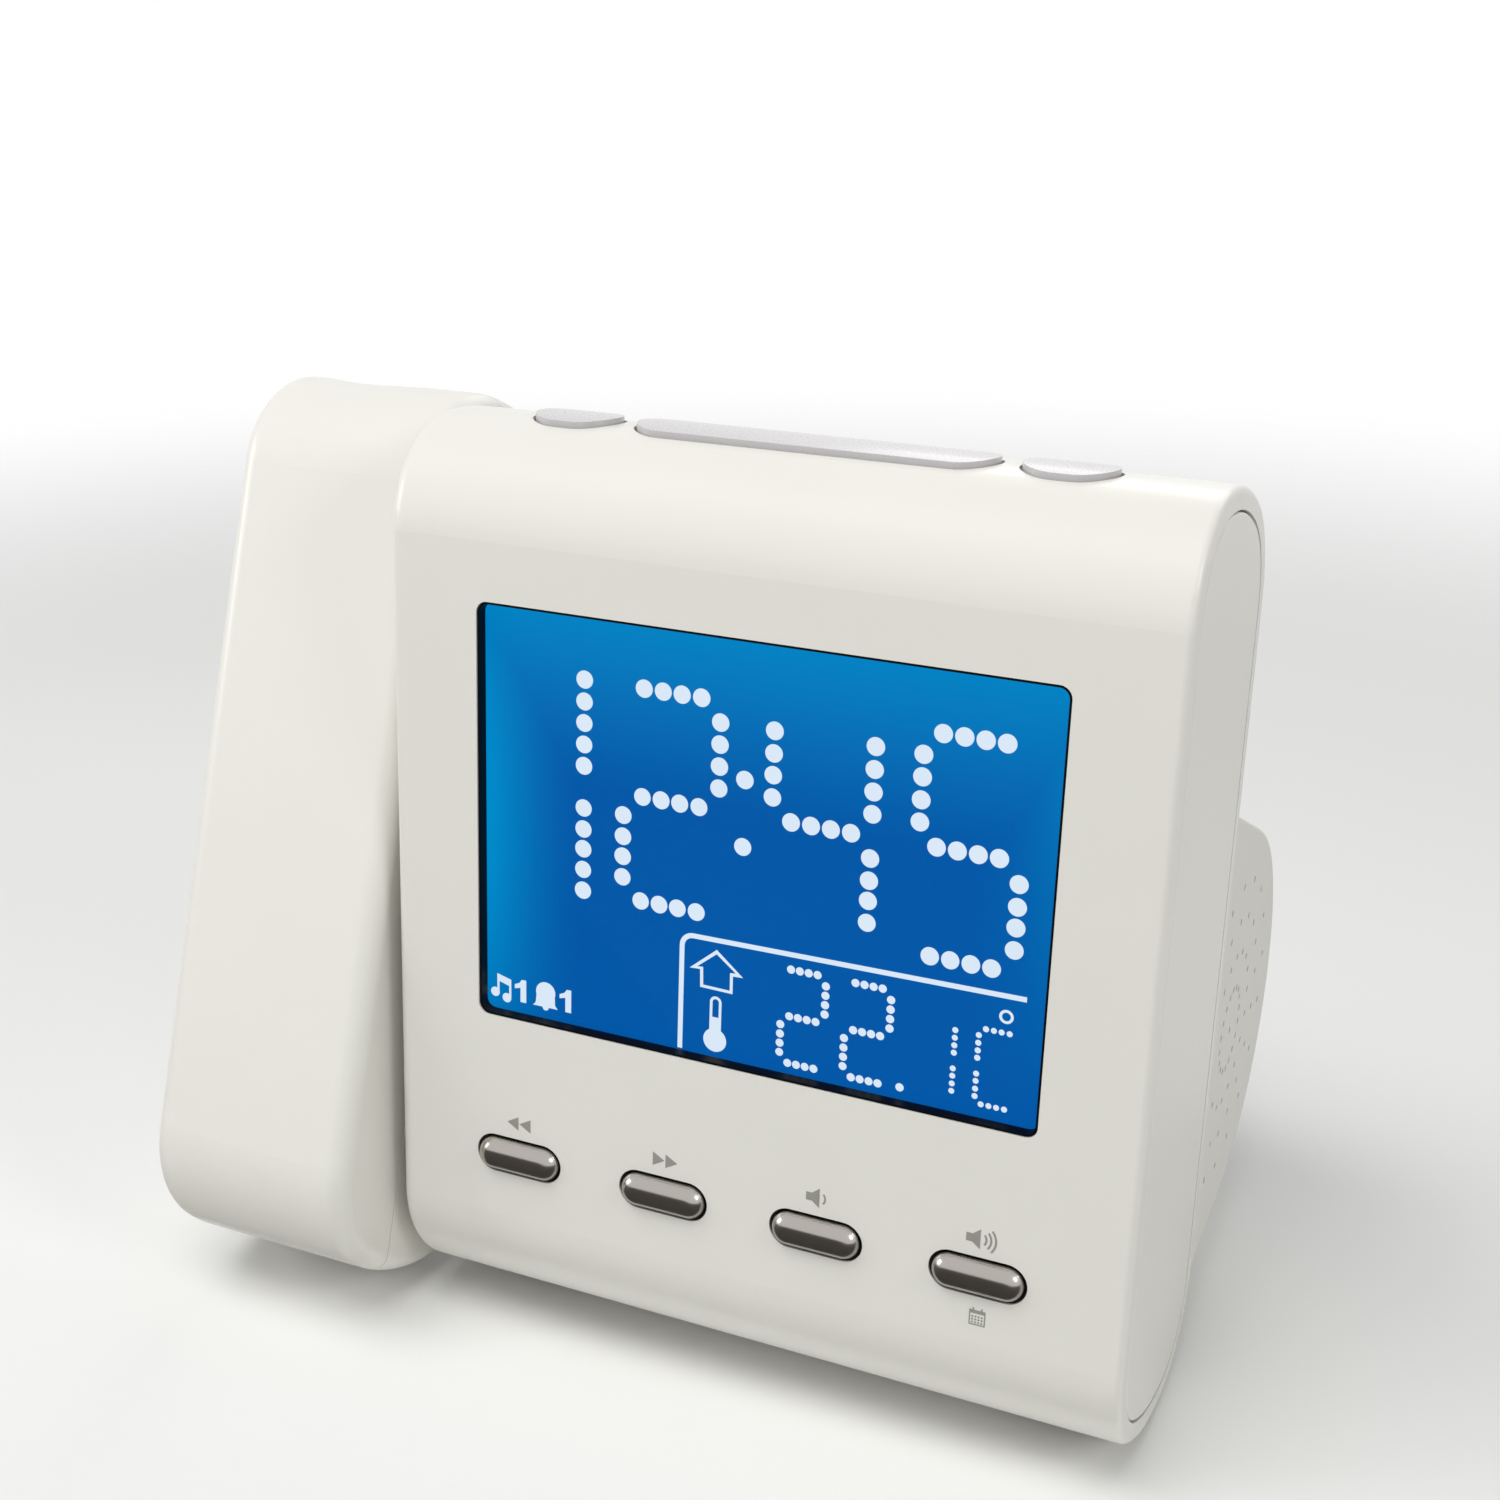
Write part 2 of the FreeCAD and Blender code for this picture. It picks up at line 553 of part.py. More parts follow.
def rear_cover():
    """The flat cover in the back, with the openings for what is reached there."""
    gap = d.fit_gap
    plate = cuboid(
        (-COVER_X + gap, COVER_X - gap), (INNER, BACK), (COVER_BOTTOM + gap, COVER_TOP - gap)
    )
    cuts = []
    for x in SET_X:
        start = Vector(x, INNER - 1, SET_LEVEL)
        cuts.append(tube(d.set_key_radius + d.key_gap, start, Vector(x, BACK + 1, SET_LEVEL)))
    for x, z in COVER_SCREWS:
        cuts.append(tube(d.screw_radius + d.screw_fit, Vector(x, INNER - 1, z), Vector(x, BACK + 1, z)))
        sunk = BACK - d.screw_head_height
        cuts.append(tube(d.screw_head + d.screw_fit, Vector(x, sunk, z), Vector(x, BACK + 1, z)))
    through = Vector(0, INNER - 1, 0)
    beyond = Vector(0, BACK + 1, 0)
    cuts.append(tube(d.door_radius + d.door_gap, DOOR + through, DOOR + beyond))
    cuts.append(tube(d.inlet_barrel + d.fit_gap, INLET + through, INLET + beyond))
    cuts.append(tube(d.gland_radius, GLAND + through, GLAND + beyond))
    opening_x = (POD_LEFT + d.pod_window, COVER_X - d.pod_window)
    opening_z = (COVER_BOTTOM + d.pod_window, POD_TOP - d.pod_window)
    cuts.append(cuboid(opening_x, (INNER - 1, BACK + 1), opening_z))
    plate = plate.cut(cuts)
    posts = []
    for x in (-d.set_key_pitch, 0, d.set_key_pitch):
        seat = Vector(x, SET_BOARD_BACK, SET_LEVEL)
        posts.append(tube(d.post_radius, seat, Vector(x, INNER + 0.5, SET_LEVEL)))
    return plate.fuse(posts).removeSplitter()


def pod_face(inset):
    """Side outline of the speaker housing: an arc with a flank to the case at each end."""
    centre = POD_CENTRE
    radius = POD_ROUND - inset
    mouth = BACK
    stops = []
    for z, side in ((POD_TOP, 1), (POD_BOTTOM, -1)):
        outer = yz(mouth, z) - centre
        swing = math.acos(POD_ROUND / outer.Length)
        angle = math.atan2(outer.z, outer.y) - side * swing
        normal = yz(math.cos(angle), math.sin(angle))
        touch = centre + normal * radius
        flank = yz(-side * math.sin(angle), side * math.cos(angle))
        reach = (mouth - touch.y) / flank.y
        stops.append((touch, touch + flank * reach))
    (top_touch, top_mouth), (low_touch, low_mouth) = stops
    back = centre + yz(radius, 0)
    edges = [
        line(low_mouth, top_mouth),
        line(top_mouth, top_touch),
        Part.Arc(top_touch, back, low_touch).toShape(),
        line(low_touch, low_mouth),
    ]
    return Part.Face(Part.Wire(edges))


def grille_holes():
    """Rings of sound holes, left out where the case covers them."""
    middle = GRILLE + Vector(1, 0, 0)
    inward = Vector(-d.wall - 2, 0, 0)
    step = (POD_ROUND - d.grille_rim - d.grille_first) / (d.grille_rings - 1)
    holes = [tube(d.grille_hole, middle, middle + inward)]
    for ring in range(int(d.grille_rings)):
        radius = d.grille_first + ring * step
        for i in range(int(d.grille_count)):
            angle = 2 * math.pi * i / d.grille_count + math.pi / 2
            spot = middle + yz(radius * math.cos(angle), radius * math.sin(angle))
            if spot.y > BACK + d.grille_clear:
                holes.append(tube(d.grille_hole, spot, spot + inward))
    return holes


def leg_spans():
    """X limits of the two rear legs."""
    left = POD_LEFT + d.leg_side
    right = POD_RIGHT - d.leg_side - d.leg_width
    return [(x, x + d.leg_width) for x in (left, right)]


def slanted_block(x, y, rise_low, top):
    """A block whose foot runs parallel to the table, at a height above it."""
    near, far = y
    points = [
        yz(near, table_height(near) + rise_low),
        yz(far, table_height(far) + rise_low),
        yz(far, top if top is not None else table_height(far) + d.foot_gap),
        yz(near, top if top is not None else table_height(near) + d.foot_gap),
    ]
    face = Part.Face(Part.makePolygon(points + points[:1]))
    return along_x(face, x[0], x[1])


def speaker_pod():
    """The housing of the loudspeaker behind the case, with its two legs."""
    solid = along_x(pod_face(0), POD_LEFT, POD_RIGHT)
    edges = []
    for x in (POD_LEFT, POD_RIGHT):
        for edge in rim_edges(solid, x):
            if any(v.Point.y > BACK + 1e-6 for v in edge.Vertexes):
                edges.append(edge)
    solid = solid.makeFillet(d.pod_edge, edges)
    legs = []
    span = (d.leg_front, d.leg_front + d.leg_depth)
    for x in leg_spans():
        legs.append(slanted_block(x, span, d.foot_gap, POD_CENTRE.z))
    hollow = along_x(pod_face(d.wall), POD_LEFT + d.wall, POD_RIGHT - d.wall)
    return solid.fuse(legs).cut([hollow] + grille_holes()).removeSplitter()


def key(length, height, x, z):
    """A front button: a rounded pill with a flange and a stem."""
    front = -BACK - d.key_proud
    back = -INNER + d.flange_gap + d.flange_thickness
    cap = pill_y(length, height, height / 2, x, z, front, back)
    rims = [e for e in cap.Edges if all(abs(v.Point.y - front) < 1e-6 for v in e.Vertexes)]
    cap = cap.makeFillet(height * 0.42, rims)
    around = 2 * (d.key_gap + d.flange_margin)
    flange = pill_y(
        length + around, height + around, height, x, z, back - d.flange_thickness, back
    )
    tip = KEY_SWITCH_FRONT + d.switch_height - d.key_travel - d.over_travel
    stem = tube(d.stem_radius, Vector(x, back - 0.5, z), Vector(x, tip, z))
    return cap.fuse([flange, stem]).removeSplitter()


def top_key(x, length):
    """A top button that follows the crown of the case."""
    depth = d.top_key_depth
    levels = (TOP - d.top_key_reach, TOP + d.top_key_proud + 1)
    bar = pill_z(length, depth, depth / 2, x, -d.top_key_shift, *levels)
    inner = d.wall + d.flange_gap
    cap = bar.common(slab(-d.top_key_proud, -END, END)).cut(slab(inner, -END, END))
    around = 2 * (d.key_gap + d.flange_margin)
    wide = pill_z(length + around, depth + around, depth, x, -d.top_key_shift, *levels)
    ring = slab(inner, -END, END).cut(slab(inner + d.flange_thickness, -END, END))
    flange = wide.common(ring)
    bar_inner = bar.common(ring)
    tip = TOP_BOARD_TOP + d.key_travel + d.over_travel
    root = TOP - inner - d.flange_thickness / 2
    stem = tube(d.stem_radius, Vector(x, -d.top_key_shift, tip), Vector(x, -d.top_key_shift, root))
    return cap.fuse([bar_inner, flange, stem]).removeSplitter()


def set_key(x):
    """A round setting button in the rear cover."""
    z = SET_LEVEL
    flange_back = INNER - d.flange_gap
    flange_front = flange_back - d.flange_thickness
    cap = tube(d.set_key_radius, Vector(x, flange_front, z), Vector(x, BACK + d.set_key_proud, z))
    face = BACK + d.set_key_proud
    rims = [e for e in cap.Edges if all(abs(v.Point.y - face) < 1e-6 for v in e.Vertexes)]
    cap = cap.makeFillet(0.5, rims)
    wide = d.set_key_radius + d.key_gap + d.flange_margin
    flange = tube(wide, Vector(x, flange_front, z), Vector(x, flange_back, z))
    tip = SET_SWITCH_BACK - d.switch_height + d.set_key_travel + d.over_travel
    stem = tube(d.stem_radius, Vector(x, tip, z), Vector(x, flange_front + 0.5, z))
    return cap.fuse([flange, stem]).removeSplitter()


def switch_at(point, direction):
    """A switch body on a board, with the bore that its plunger rides in."""
    half = d.switch_side / 2
    along = unit(direction)
    if abs(along.z) > 0.5:
        body = cuboid(
            (point.x - half, point.x + half), (point.y - half, point.y + half),
            (point.z, point.z + d.switch_height),
        )
    else:
        far = point.y + along.y * d.switch_height
        body = cuboid(
            (point.x - half, point.x + half), (min(point.y, far), max(point.y, far)),
            (point.z - half, point.z + half),
        )
    bore = tube(d.stem_radius + d.stem_fit, point, point + along * (d.switch_height + 1))
    return body.cut(bore)


def revolved(points, axis_point):
    """Turn a profile of (distance inward from the wall, radius) about an X axis."""
    corners = [axis_point + Vector(-inward, radius, 0) for inward, radius in points]
    face = Part.Face(Part.makePolygon(corners + corners[:1]))
    return face.revolve(axis_point, Vector(1, 0, 0), 360)


def speaker_frame():
    """The basket: a flange, a cone of sheet and a back plate."""
    rim = SPEAKER_RADIUS
    neck = SPEAKER_RADIUS - d.speaker_ring
    plate = SPEAKER_RADIUS * d.magnet_share * 0.9
    deep = d.speaker_depth
    sheet_metal = d.speaker_sheet
    return revolved([
        (0, neck), (0, rim), (sheet_metal, rim), (deep - sheet_metal, plate + sheet_metal),
        (deep, plate + sheet_metal), (deep, d.speaker_hole), (deep - sheet_metal, d.speaker_hole),
        (deep - sheet_metal, plate), (sheet_metal, neck),
    ], SPEAKER)


def speaker_cone():
    """The paper cone, held by its edge in the flange."""
    paper = d.cone_sheet
    edge = SPEAKER_RADIUS - d.speaker_ring - d.fit_gap
    deep = d.speaker_depth - 4 * paper - d.speaker_sheet
    cup = d.cone_cup
    return revolved([
        (paper, edge), (2 * paper, edge), (3 * paper, edge - 3 * paper), (deep, cup), (deep, 0),
        (deep - paper, 0), (deep - paper, cup - paper), (2 * paper, edge - 3 * paper),
        (paper, edge - paper),
    ], SPEAKER)


def arm_solid():
    solid = slab(0, ARM_LEFT, ARM_RIGHT)
    rims = rim_edges(solid, ARM_LEFT) + rim_edges(solid, ARM_RIGHT)
    return solid.makeFillet(d.arm_edge, rims)


def arm_shell():
    """Both halves of the arm's case in one, before the seam parts them."""
    outer = arm_solid()
    hollow = slab(d.wall, ARM_LEFT + d.wall, ARM_RIGHT - d.wall)
    floor = BARREL_TOP + d.focus_travel + d.wheel_gap
    boss = tube(
        d.dish_radius + 1.5, Vector(LENS_X, LENS_Y, floor), Vector(LENS_X, LENS_Y, TOP + 1)
    ).common(outer)
    ball = (d.dish_radius ** 2 + d.dish_depth ** 2) / (2 * d.dish_depth)
    dish = Part.makeSphere(ball, Vector(LENS_X, LENS_Y, TOP + ball - d.dish_depth))
    mouth = tube(d.lens_mouth, Vector(LENS_X, LENS_Y, floor - 1), Vector(LENS_X, LENS_Y, TOP + 5))
    inner_side = ARM_RIGHT - d.wall - 1
    pivot_hole = tube(d.hub_radius + d.fit_gap, Vector(inner_side, 0, 0), Vector(ARM_RIGHT + 1, 0, 0))
    reach = math.sqrt(d.wheel_radius ** 2 - (LENS_X - ARM_LEFT - d.wall) ** 2) + d.wheel_gap
    slot = cuboid(
        (ARM_LEFT - 1, ARM_LEFT + d.wall + 1), (LENS_Y - reach, LENS_Y + reach),
        (WHEEL_LOW - d.wheel_gap, WHEEL_TOP + d.wheel_gap),
    )
    return outer.cut(hollow).fuse(boss).cut([dish, mouth, pivot_hole, slot])


def arm_screw_spots():
    xs = (ARM_LEFT + d.arm_screw_side, ARM_RIGHT - d.arm_screw_side)
    upper = d.tunnel_low - d.board_thickness - d.arm_post_radius - d.arm_screw_space
    lower = -FRONT_ROUND.z + d.arm_screw_rise
    return [(x, z) for x in xs for z in (upper, lower)]


def arm_halves():
    """The front and rear shells, parted by a plane along the arm."""
    shell = arm_shell()
    seam = -d.arm_split
    half_gap = d.seam_gap / 2
    big = d.slab_height
    ahead = cuboid((ARM_LEFT - 5, ARM_RIGHT + 5), (-big, seam - half_gap), (-big, big))
    behind = cuboid((ARM_LEFT - 5, ARM_RIGHT + 5), (seam + half_gap, big), (-big, big))
    posts = []
    pilots = []
    shafts = []
    for x, z in arm_screw_spots():
        seat = Vector(x, INNER, z)
        posts.append(tube(d.arm_post_radius, Vector(x, -INNER - 0.5, z), seat))
        deep = seat - Vector(0, d.screw_length + 1, 0)
        pilots.append(tube(d.screw_radius + d.screw_fit, deep, seat))
        shafts.append(tube(d.screw_radius + d.screw_fit, Vector(x, INNER - 1, z), Vector(x, BACK + 1, z)))
        sunk = Vector(x, BACK - d.screw_head_height, z)
        shafts.append(tube(d.screw_head + d.screw_fit, sunk, Vector(x, BACK + 1, z)))
    front = shell.common(ahead).fuse(posts).cut(pilots).removeSplitter()
    rear = shell.common(behind).cut(shafts).removeSplitter()
    return front, rear


CLIP_START = -END + d.cap_thickness + d.bearing_length + d.washer_thickness + d.fit_gap


def pivot_hub():
    """The hollow shaft that carries the arm, with a flange inside its wall."""
    inside = ARM_RIGHT - d.wall
    flange = tube(d.hub_flange, Vector(inside - d.hub_flange_thickness, 0, 0), Vector(inside, 0, 0))
    end = CLIP_START + 2 * d.clip_thickness
    shaft = tube(d.hub_radius, Vector(inside - 1, 0, 0), Vector(end, 0, 0))
    clip_end = Vector(CLIP_START + d.clip_thickness, 0, 0)
    ring = tube(d.hub_radius + 1, Vector(CLIP_START, 0, 0), clip_end)
    groove = ring.cut(tube(d.hub_radius - d.clip_groove, Vector(CLIP_START, 0, 0), clip_end))
    bore = tube(d.hub_bore, Vector(inside - d.hub_flange_thickness - 1, 0, 0), Vector(end + 1, 0, 0))
    return flange.fuse(shaft).cut([groove, bore]).removeSplitter()


def lens(radius, bottom):
    """A lens with two domed faces, cut from two spheres."""
    sag = d.lens_bulge - math.sqrt(d.lens_bulge ** 2 - radius ** 2)
    top = bottom + d.lens_thickness
    body = tube(radius, Vector(LENS_X, LENS_Y, bottom), Vector(LENS_X, LENS_Y, top))
    upper = Part.makeSphere(d.lens_bulge, Vector(LENS_X, LENS_Y, top - d.lens_bulge))
    lower = Part.makeSphere(d.lens_bulge, Vector(LENS_X, LENS_Y, bottom + d.lens_bulge))
    if 2 * sag > d.lens_thickness:
        return body
    return body.common([upper]).common([lower])


def focus_barrel():
    low = Vector(LENS_X, LENS_Y, BARREL_LOW)
    high = Vector(LENS_X, LENS_Y, BARREL_TOP)
    return tube(d.barrel_radius, low, high).cut(tube(d.barrel_radius - d.barrel_wall, low, high))


def focus_wheel():
    """A ring around the barrel with grips, padded from a sketch and patterned."""
    body = doc.addObject("PartDesign::Body", "focus_wheel")
    sketch = flat_sketch(body, "wheel_outline")
    for i, radius in enumerate(("wheel_radius", "barrel_radius + barrel_fit")):
        sketch.addGeometry(Part.Circle(Vector(), Vector(0, 0, 1), 10 - 2 * i), False)
        sketch.addConstraint(Sketcher.Constraint("Coincident", i, 3, -1, 1))
        size = sketch.addConstraint(Sketcher.Constraint("Radius", i, 10 - 2 * i))
        sketch.setExpression(f"Constraints[{size}]", bound(radius))
    pad = body.newObject("PartDesign::Pad", "wheel_pad")
    pad.Profile = sketch
    pad.setExpression("Length", bound("wheel_thickness"))
    notch_sketch = flat_sketch(body, "grip_outline")
    reach = d.wheel_radius + d.wheel_notch / 2
    circle = Part.Circle(Vector(reach, 0, 0), Vector(0, 0, 1), d.wheel_notch)
    notch_sketch.addGeometry(circle, False)
    notch_sketch.addConstraint(Sketcher.Constraint("PointOnObject", 0, 3, -1))
    away = notch_sketch.addConstraint(Sketcher.Constraint("DistanceX", 0, 3, -reach))
    size = notch_sketch.addConstraint(Sketcher.Constraint("Radius", 0, d.wheel_notch))
    notch_sketch.setExpression(f"Constraints[{away}]", bound("-wheel_radius - wheel_notch / 2"))
    notch_sketch.setExpression(f"Constraints[{size}]", bound("wheel_notch"))
    notch = body.newObject("PartDesign::Pocket", "grip")
    notch.Profile = notch_sketch
    notch.Type = 1
    notch.Reversed = True
    pattern = body.newObject("PartDesign::PolarPattern", "grips")
    pattern.Originals = [notch]
    pattern.Axis = (notch_sketch, ["N_Axis"])
    pattern.Angle = 360
    pattern.setExpression("Occurrences", bound("wheel_notches"))
    body.Tip = pattern
    return body


def lens_bracket():
    """Two plates that guide the barrel and trap the wheel, on a web behind them."""
    half = d.bracket_side / 2
    xs = (LENS_X - half, LENS_X + half)
    web_front = LENS_Y + d.wheel_radius + d.wheel_gap
    web_back = web_front + d.bracket_plate
    ys = (LENS_Y - d.barrel_radius - d.bracket_plate, web_back)
    low = WHEEL_LOW - d.wheel_gap
    high = WHEEL_TOP + d.wheel_gap
    lower = cuboid(xs, ys, (low - d.bracket_plate, low))
    upper = cuboid(xs, ys, (high, high + d.bracket_plate))
    web = cuboid(xs, (web_front, web_back), (low - d.bracket_plate, high + d.bracket_plate))
    middle = (low + high) / 2
    post = tube(d.arm_post_radius, Vector(LENS_X, web_back - 0.5, middle), Vector(LENS_X, INNER, middle))
    post = post.common(slab(d.wall, ARM_LEFT, ARM_RIGHT))
    bore = tube(
        d.barrel_radius + d.barrel_fit, Vector(LENS_X, LENS_Y, low - 5), Vector(LENS_X, LENS_Y, high + 5)
    )
    return lower.fuse([upper, web, post]).cut(bore).removeSplitter()


def light_tunnel():
    half = d.tunnel_side / 2
    bore = half - d.tunnel_wall
    high = TUNNEL_TOP
    outer = cuboid((LENS_X - half, LENS_X + half), (LENS_Y - half, LENS_Y + half), (d.tunnel_low, high))
    inner = cuboid(
        (LENS_X - bore, LENS_X + bore), (LENS_Y - bore, LENS_Y + bore), (d.tunnel_low - 1, high + 1)
    )
    ear = cuboid((LENS_X - 3, LENS_X + 3), (LENS_Y + half - 1, INNER), (high - 12, high - 6))
    return outer.fuse(ear).cut(inner).removeSplitter()


def screws(spots):
    """Pan-head screws in the rear face, one solid each."""
    out = []
    for x, z in spots:
        under = BACK - d.screw_head_height
        head = tube(d.screw_head, Vector(x, under, z), Vector(x, BACK, z))
        cross = cuboid((x - 1.6, x + 1.6), (BACK - 0.5, BACK + 1), (z - 0.35, z + 0.35))
        other = cuboid((x - 0.35, x + 0.35), (BACK - 0.5, BACK + 1), (z - 1.6, z + 1.6))
        shank = tube(d.screw_radius, Vector(x, INNER - d.screw_length, z), Vector(x, under + 0.5, z))
        out.append(head.fuse(shank).cut([cross, other]).removeSplitter())
    return Part.makeCompound(out)


# Case
feature("front_housing", front_housing(), panel_frame)
right_cap = end_cap(END - d.cap_thickness, END)
feature("right_end_cap", right_cap.makeFillet(0.4, rim_edges(right_cap, END)), panel_frame)
feature("left_end_cap", left_end_cap(), panel_frame)
feature("rear_cover", rear_cover(), panel_frame)
feature("speaker_pod", speaker_pod(), panel_frame)
feature("cover_screws", screws(COVER_SCREWS), panel_frame)

front_feet = []
rear_feet = []
for side in (-1, 1):
    middle = side * (END - d.foot_side)
    span = (middle - d.foot_width / 2, middle + d.foot_width / 2)
    block_foot = slanted_block(span, (-d.foot_front, d.foot_depth - d.foot_front), 0, -d.slab_height / 4)
    front_feet.append(block_foot.cut(slab(0, -END, END)))
for x in leg_spans():
    rear_feet.append(slanted_block(x, (d.leg_front, d.leg_front + d.leg_depth), 0, None))
feature("front_feet", Part.makeCompound(front_feet), panel_frame)
feature("rear_feet", Part.makeCompound(rear_feet), panel_frame)

# Display stack, from the window back to the main board
WINDOW_W = d.display_width + 2 * d.window_margin
WINDOW_H = DISPLAY_HEIGHT + 2 * d.window_margin
LCD_W = WINDOW_W - 2 * d.lcd_inset
LCD_H = WINDOW_H - 2 * d.lcd_inset
GLASS_FRONT = -INNER + d.window_thickness
BOARD_FRONT = GLASS_FRONT + d.tray_depth

bezel_w = d.display_width - 2 * d.fit_gap
bezel_h = DISPLAY_HEIGHT - 2 * d.fit_gap
bezel_outer = pill_y(
    bezel_w, bezel_h, d.display_corner, 0, DISPLAY_CENTRE, -BACK + d.bezel_recess, -INNER
)
bezel_inner = pill_y(
    bezel_w - 2 * d.bezel_wall, bezel_h - 2 * d.bezel_wall, d.display_corner / 2,
    0, DISPLAY_CENTRE, -BACK - 1, -INNER + 1,
)
feature("display_bezel", bezel_outer.cut(bezel_inner), panel_frame)

node(
    block("display_window", "display_width + 2 * window_margin", "window_thickness",
          "slab_height - display_drop - display_rise + 2 * window_margin"),
    "display_window", panel_frame, Vector(-WINDOW_W / 2, -INNER, DISPLAY_CENTRE - WINDOW_H / 2),
)
LCD_WIDE = "display_width + 2 * window_margin - 2 * lcd_inset"
OPENING_HIGH = "slab_height - display_drop - display_rise"
LCD_HIGH = OPENING_HIGH + " + 2 * window_margin - 2 * lcd_inset"
lcd_corner = Vector(-LCD_W / 2, GLASS_FRONT, DISPLAY_CENTRE - LCD_H / 2)
node(block("lcd_panel", LCD_WIDE, "lcd_thickness", LCD_HIGH), "lcd_panel", panel_frame, lcd_corner)
node(
    block("light_guide", LCD_WIDE, "guide_thickness", LCD_HIGH),
    "light_guide", panel_frame, lcd_corner + Vector(0, d.lcd_thickness, 0),
)
tray_outer = block(
    "tray_outer", LCD_WIDE + " + 2 * tray_wall", "tray_depth", LCD_HIGH + " + 2 * tray_wall"
)
tray_inner = block("tray_inner", LCD_WIDE, "tray_depth + 2 * tray_wall", LCD_HIGH)
tray_inner.Placement.Base = Vector(d.tray_wall, -d.tray_wall, d.tray_wall)
lcd_tray = doc.addObject("Part::Cut", "lcd_tray")
lcd_tray.Base = tray_outer
lcd_tray.Tool = tray_inner
node(lcd_tray, "lcd_tray", panel_frame, lcd_corner - Vector(d.tray_wall, 0, d.tray_wall))

# Boards stand on edge, so their own Z turns to point to the front
UPRIGHT = Rotation(Vector(1, 0, 0), 90)
main_board_high = OPENING_HIGH + " + 2 * main_board_past"
node(
    board("main_board", "main_board_width", main_board_high), "main_board", panel_frame,
    Vector(0, BOARD_FRONT + d.board_thickness, DISPLAY_CENTRE), UPRIGHT,
)
node(
    board("front_key_board", "key_board_width", "key_board_height"), "front_key_board",
    panel_frame, Vector(0, KEY_BOARD_FRONT + d.board_thickness, KEY_LEVEL), UPRIGHT,
)
node(
    board("rear_key_board", "set_board_width", "set_board_height"), "rear_key_board",
    panel_frame, Vector(0, SET_BOARD_BACK, SET_LEVEL), UPRIGHT,
)
TOP_BOARD_WIDE = (
    "top_bar_length / 2 + top_key_space + top_key_length + body_width / 2 - cap_thickness"
    " + 2 * top_board_margin"
)
node(
    board("top_key_board", TOP_BOARD_WIDE, "top_board_depth"), "top_key_board",
    panel_frame, Vector(0, -d.top_key_shift, TOP_BOARD_LOW),
)

# What stands on the main board: packages as x, z from its middle, width, depth and height
PACKAGES = [(-12, 10, 14, 2.0, 14), (14, 12, 10, 1.6, 12), (-30, -16, 8, 4.0, 6), (30, -20, 12, 6.0, 8)]
CAPACITORS = [(-32, 16, 3.2, 9.0), (4, -20, 2.6, 8.0), (33, 20, 2.6, 7.0)]
board_back = BOARD_FRONT + d.board_thickness
parts_on_board = []
for x, z, wide, deep, high in PACKAGES:
    low_z = DISPLAY_CENTRE + z - high / 2
    parts_on_board.append(
        cuboid((x - wide / 2, x + wide / 2), (board_back, board_back + deep), (low_z, low_z + high))
    )
for x, z, radius, deep in CAPACITORS:
    foot = Vector(x, board_back, DISPLAY_CENTRE + z)
    parts_on_board.append(tube(radius, foot, foot + Vector(0, deep, 0)))
feature("board_parts", Part.makeCompound(parts_on_board), panel_frame)

# Buttons and their switches
for number, x in enumerate(KEY_X, start=1):
    feature(f"front_button_{number}", key(d.key_length, d.key_height, x, KEY_LEVEL), panel_frame)
front_switches = [switch_at(Vector(x, KEY_BOARD_FRONT, KEY_LEVEL), Vector(0, -1, 0)) for x in KEY_X]
feature("front_switches", Part.makeCompound(front_switches), panel_frame)

for name, x, length in TOP_KEYS:
    feature(f"top_button_{name}", top_key(x, length), panel_frame)
top_switches = []
for _, x, _ in TOP_KEYS:
    top_switches.append(switch_at(Vector(x, -d.top_key_shift, TOP_BOARD_TOP), Vector(0, 0, 1)))
feature("top_switches", Part.makeCompound(top_switches), panel_frame)

for number, x in enumerate(SET_X, start=1):
    feature(f"rear_button_{number}", set_key(x), panel_frame)
rear_switches = [switch_at(Vector(x, SET_BOARD_BACK, SET_LEVEL), Vector(0, 1, 0)) for x in SET_X]
feature("rear_switches", Part.makeCompound(rear_switches), panel_frame)

# Loudspeaker
feature("speaker_frame", speaker_frame(), panel_frame)
feature("speaker_cone", speaker_cone(), panel_frame)
MAGNET_RADIUS = (
    "((pod_back + (slab_height - pod_drop - pod_rise) / 2 - pod_narrowing) / 2 - speaker_rim)"
    " * magnet_share"
)
node(
    rod("speaker_magnet", MAGNET_RADIUS, "magnet_depth"), "speaker_magnet", panel_frame,
    SPEAKER - Vector(d.speaker_depth, 0, 0), Rotation(Vector(0, 1, 0), -90),
)

# Backup cell behind its twist door
holder_front = INNER - d.holder_depth
half_holder = d.holder_side / 2
cell_front = INNER - d.cell_thickness - 1
holder = cuboid(
    (DOOR.x - half_holder, DOOR.x + half_holder), (holder_front, INNER),
    (DOOR.z - half_holder, DOOR.z + half_holder),
).cut(tube(d.cell_radius + d.fit_gap, DOOR + Vector(0, cell_front, 0), DOOR + Vector(0, BACK, 0)))
feature("battery_holder", holder, panel_frame)
BACKWARD = Rotation(Vector(1, 0, 0), -90)
node(
    rod("backup_cell", "cell_radius", "cell_thickness"), "backup_cell", panel_frame,
    DOOR + Vector(0, cell_front, 0), BACKWARD,
)
door_back = INNER + d.fit_gap + d.door_thickness
door = tube(d.door_radius, DOOR + Vector(0, INNER + d.fit_gap, 0), DOOR + Vector(0, door_back, 0))
coin_slot = cuboid((DOOR.x - 7, DOOR.x + 7), (door_back - 0.9, door_back + 1), (DOOR.z - 0.8, DOOR.z + 0.8))
feature("battery_door", door.cut(coin_slot), panel_frame)

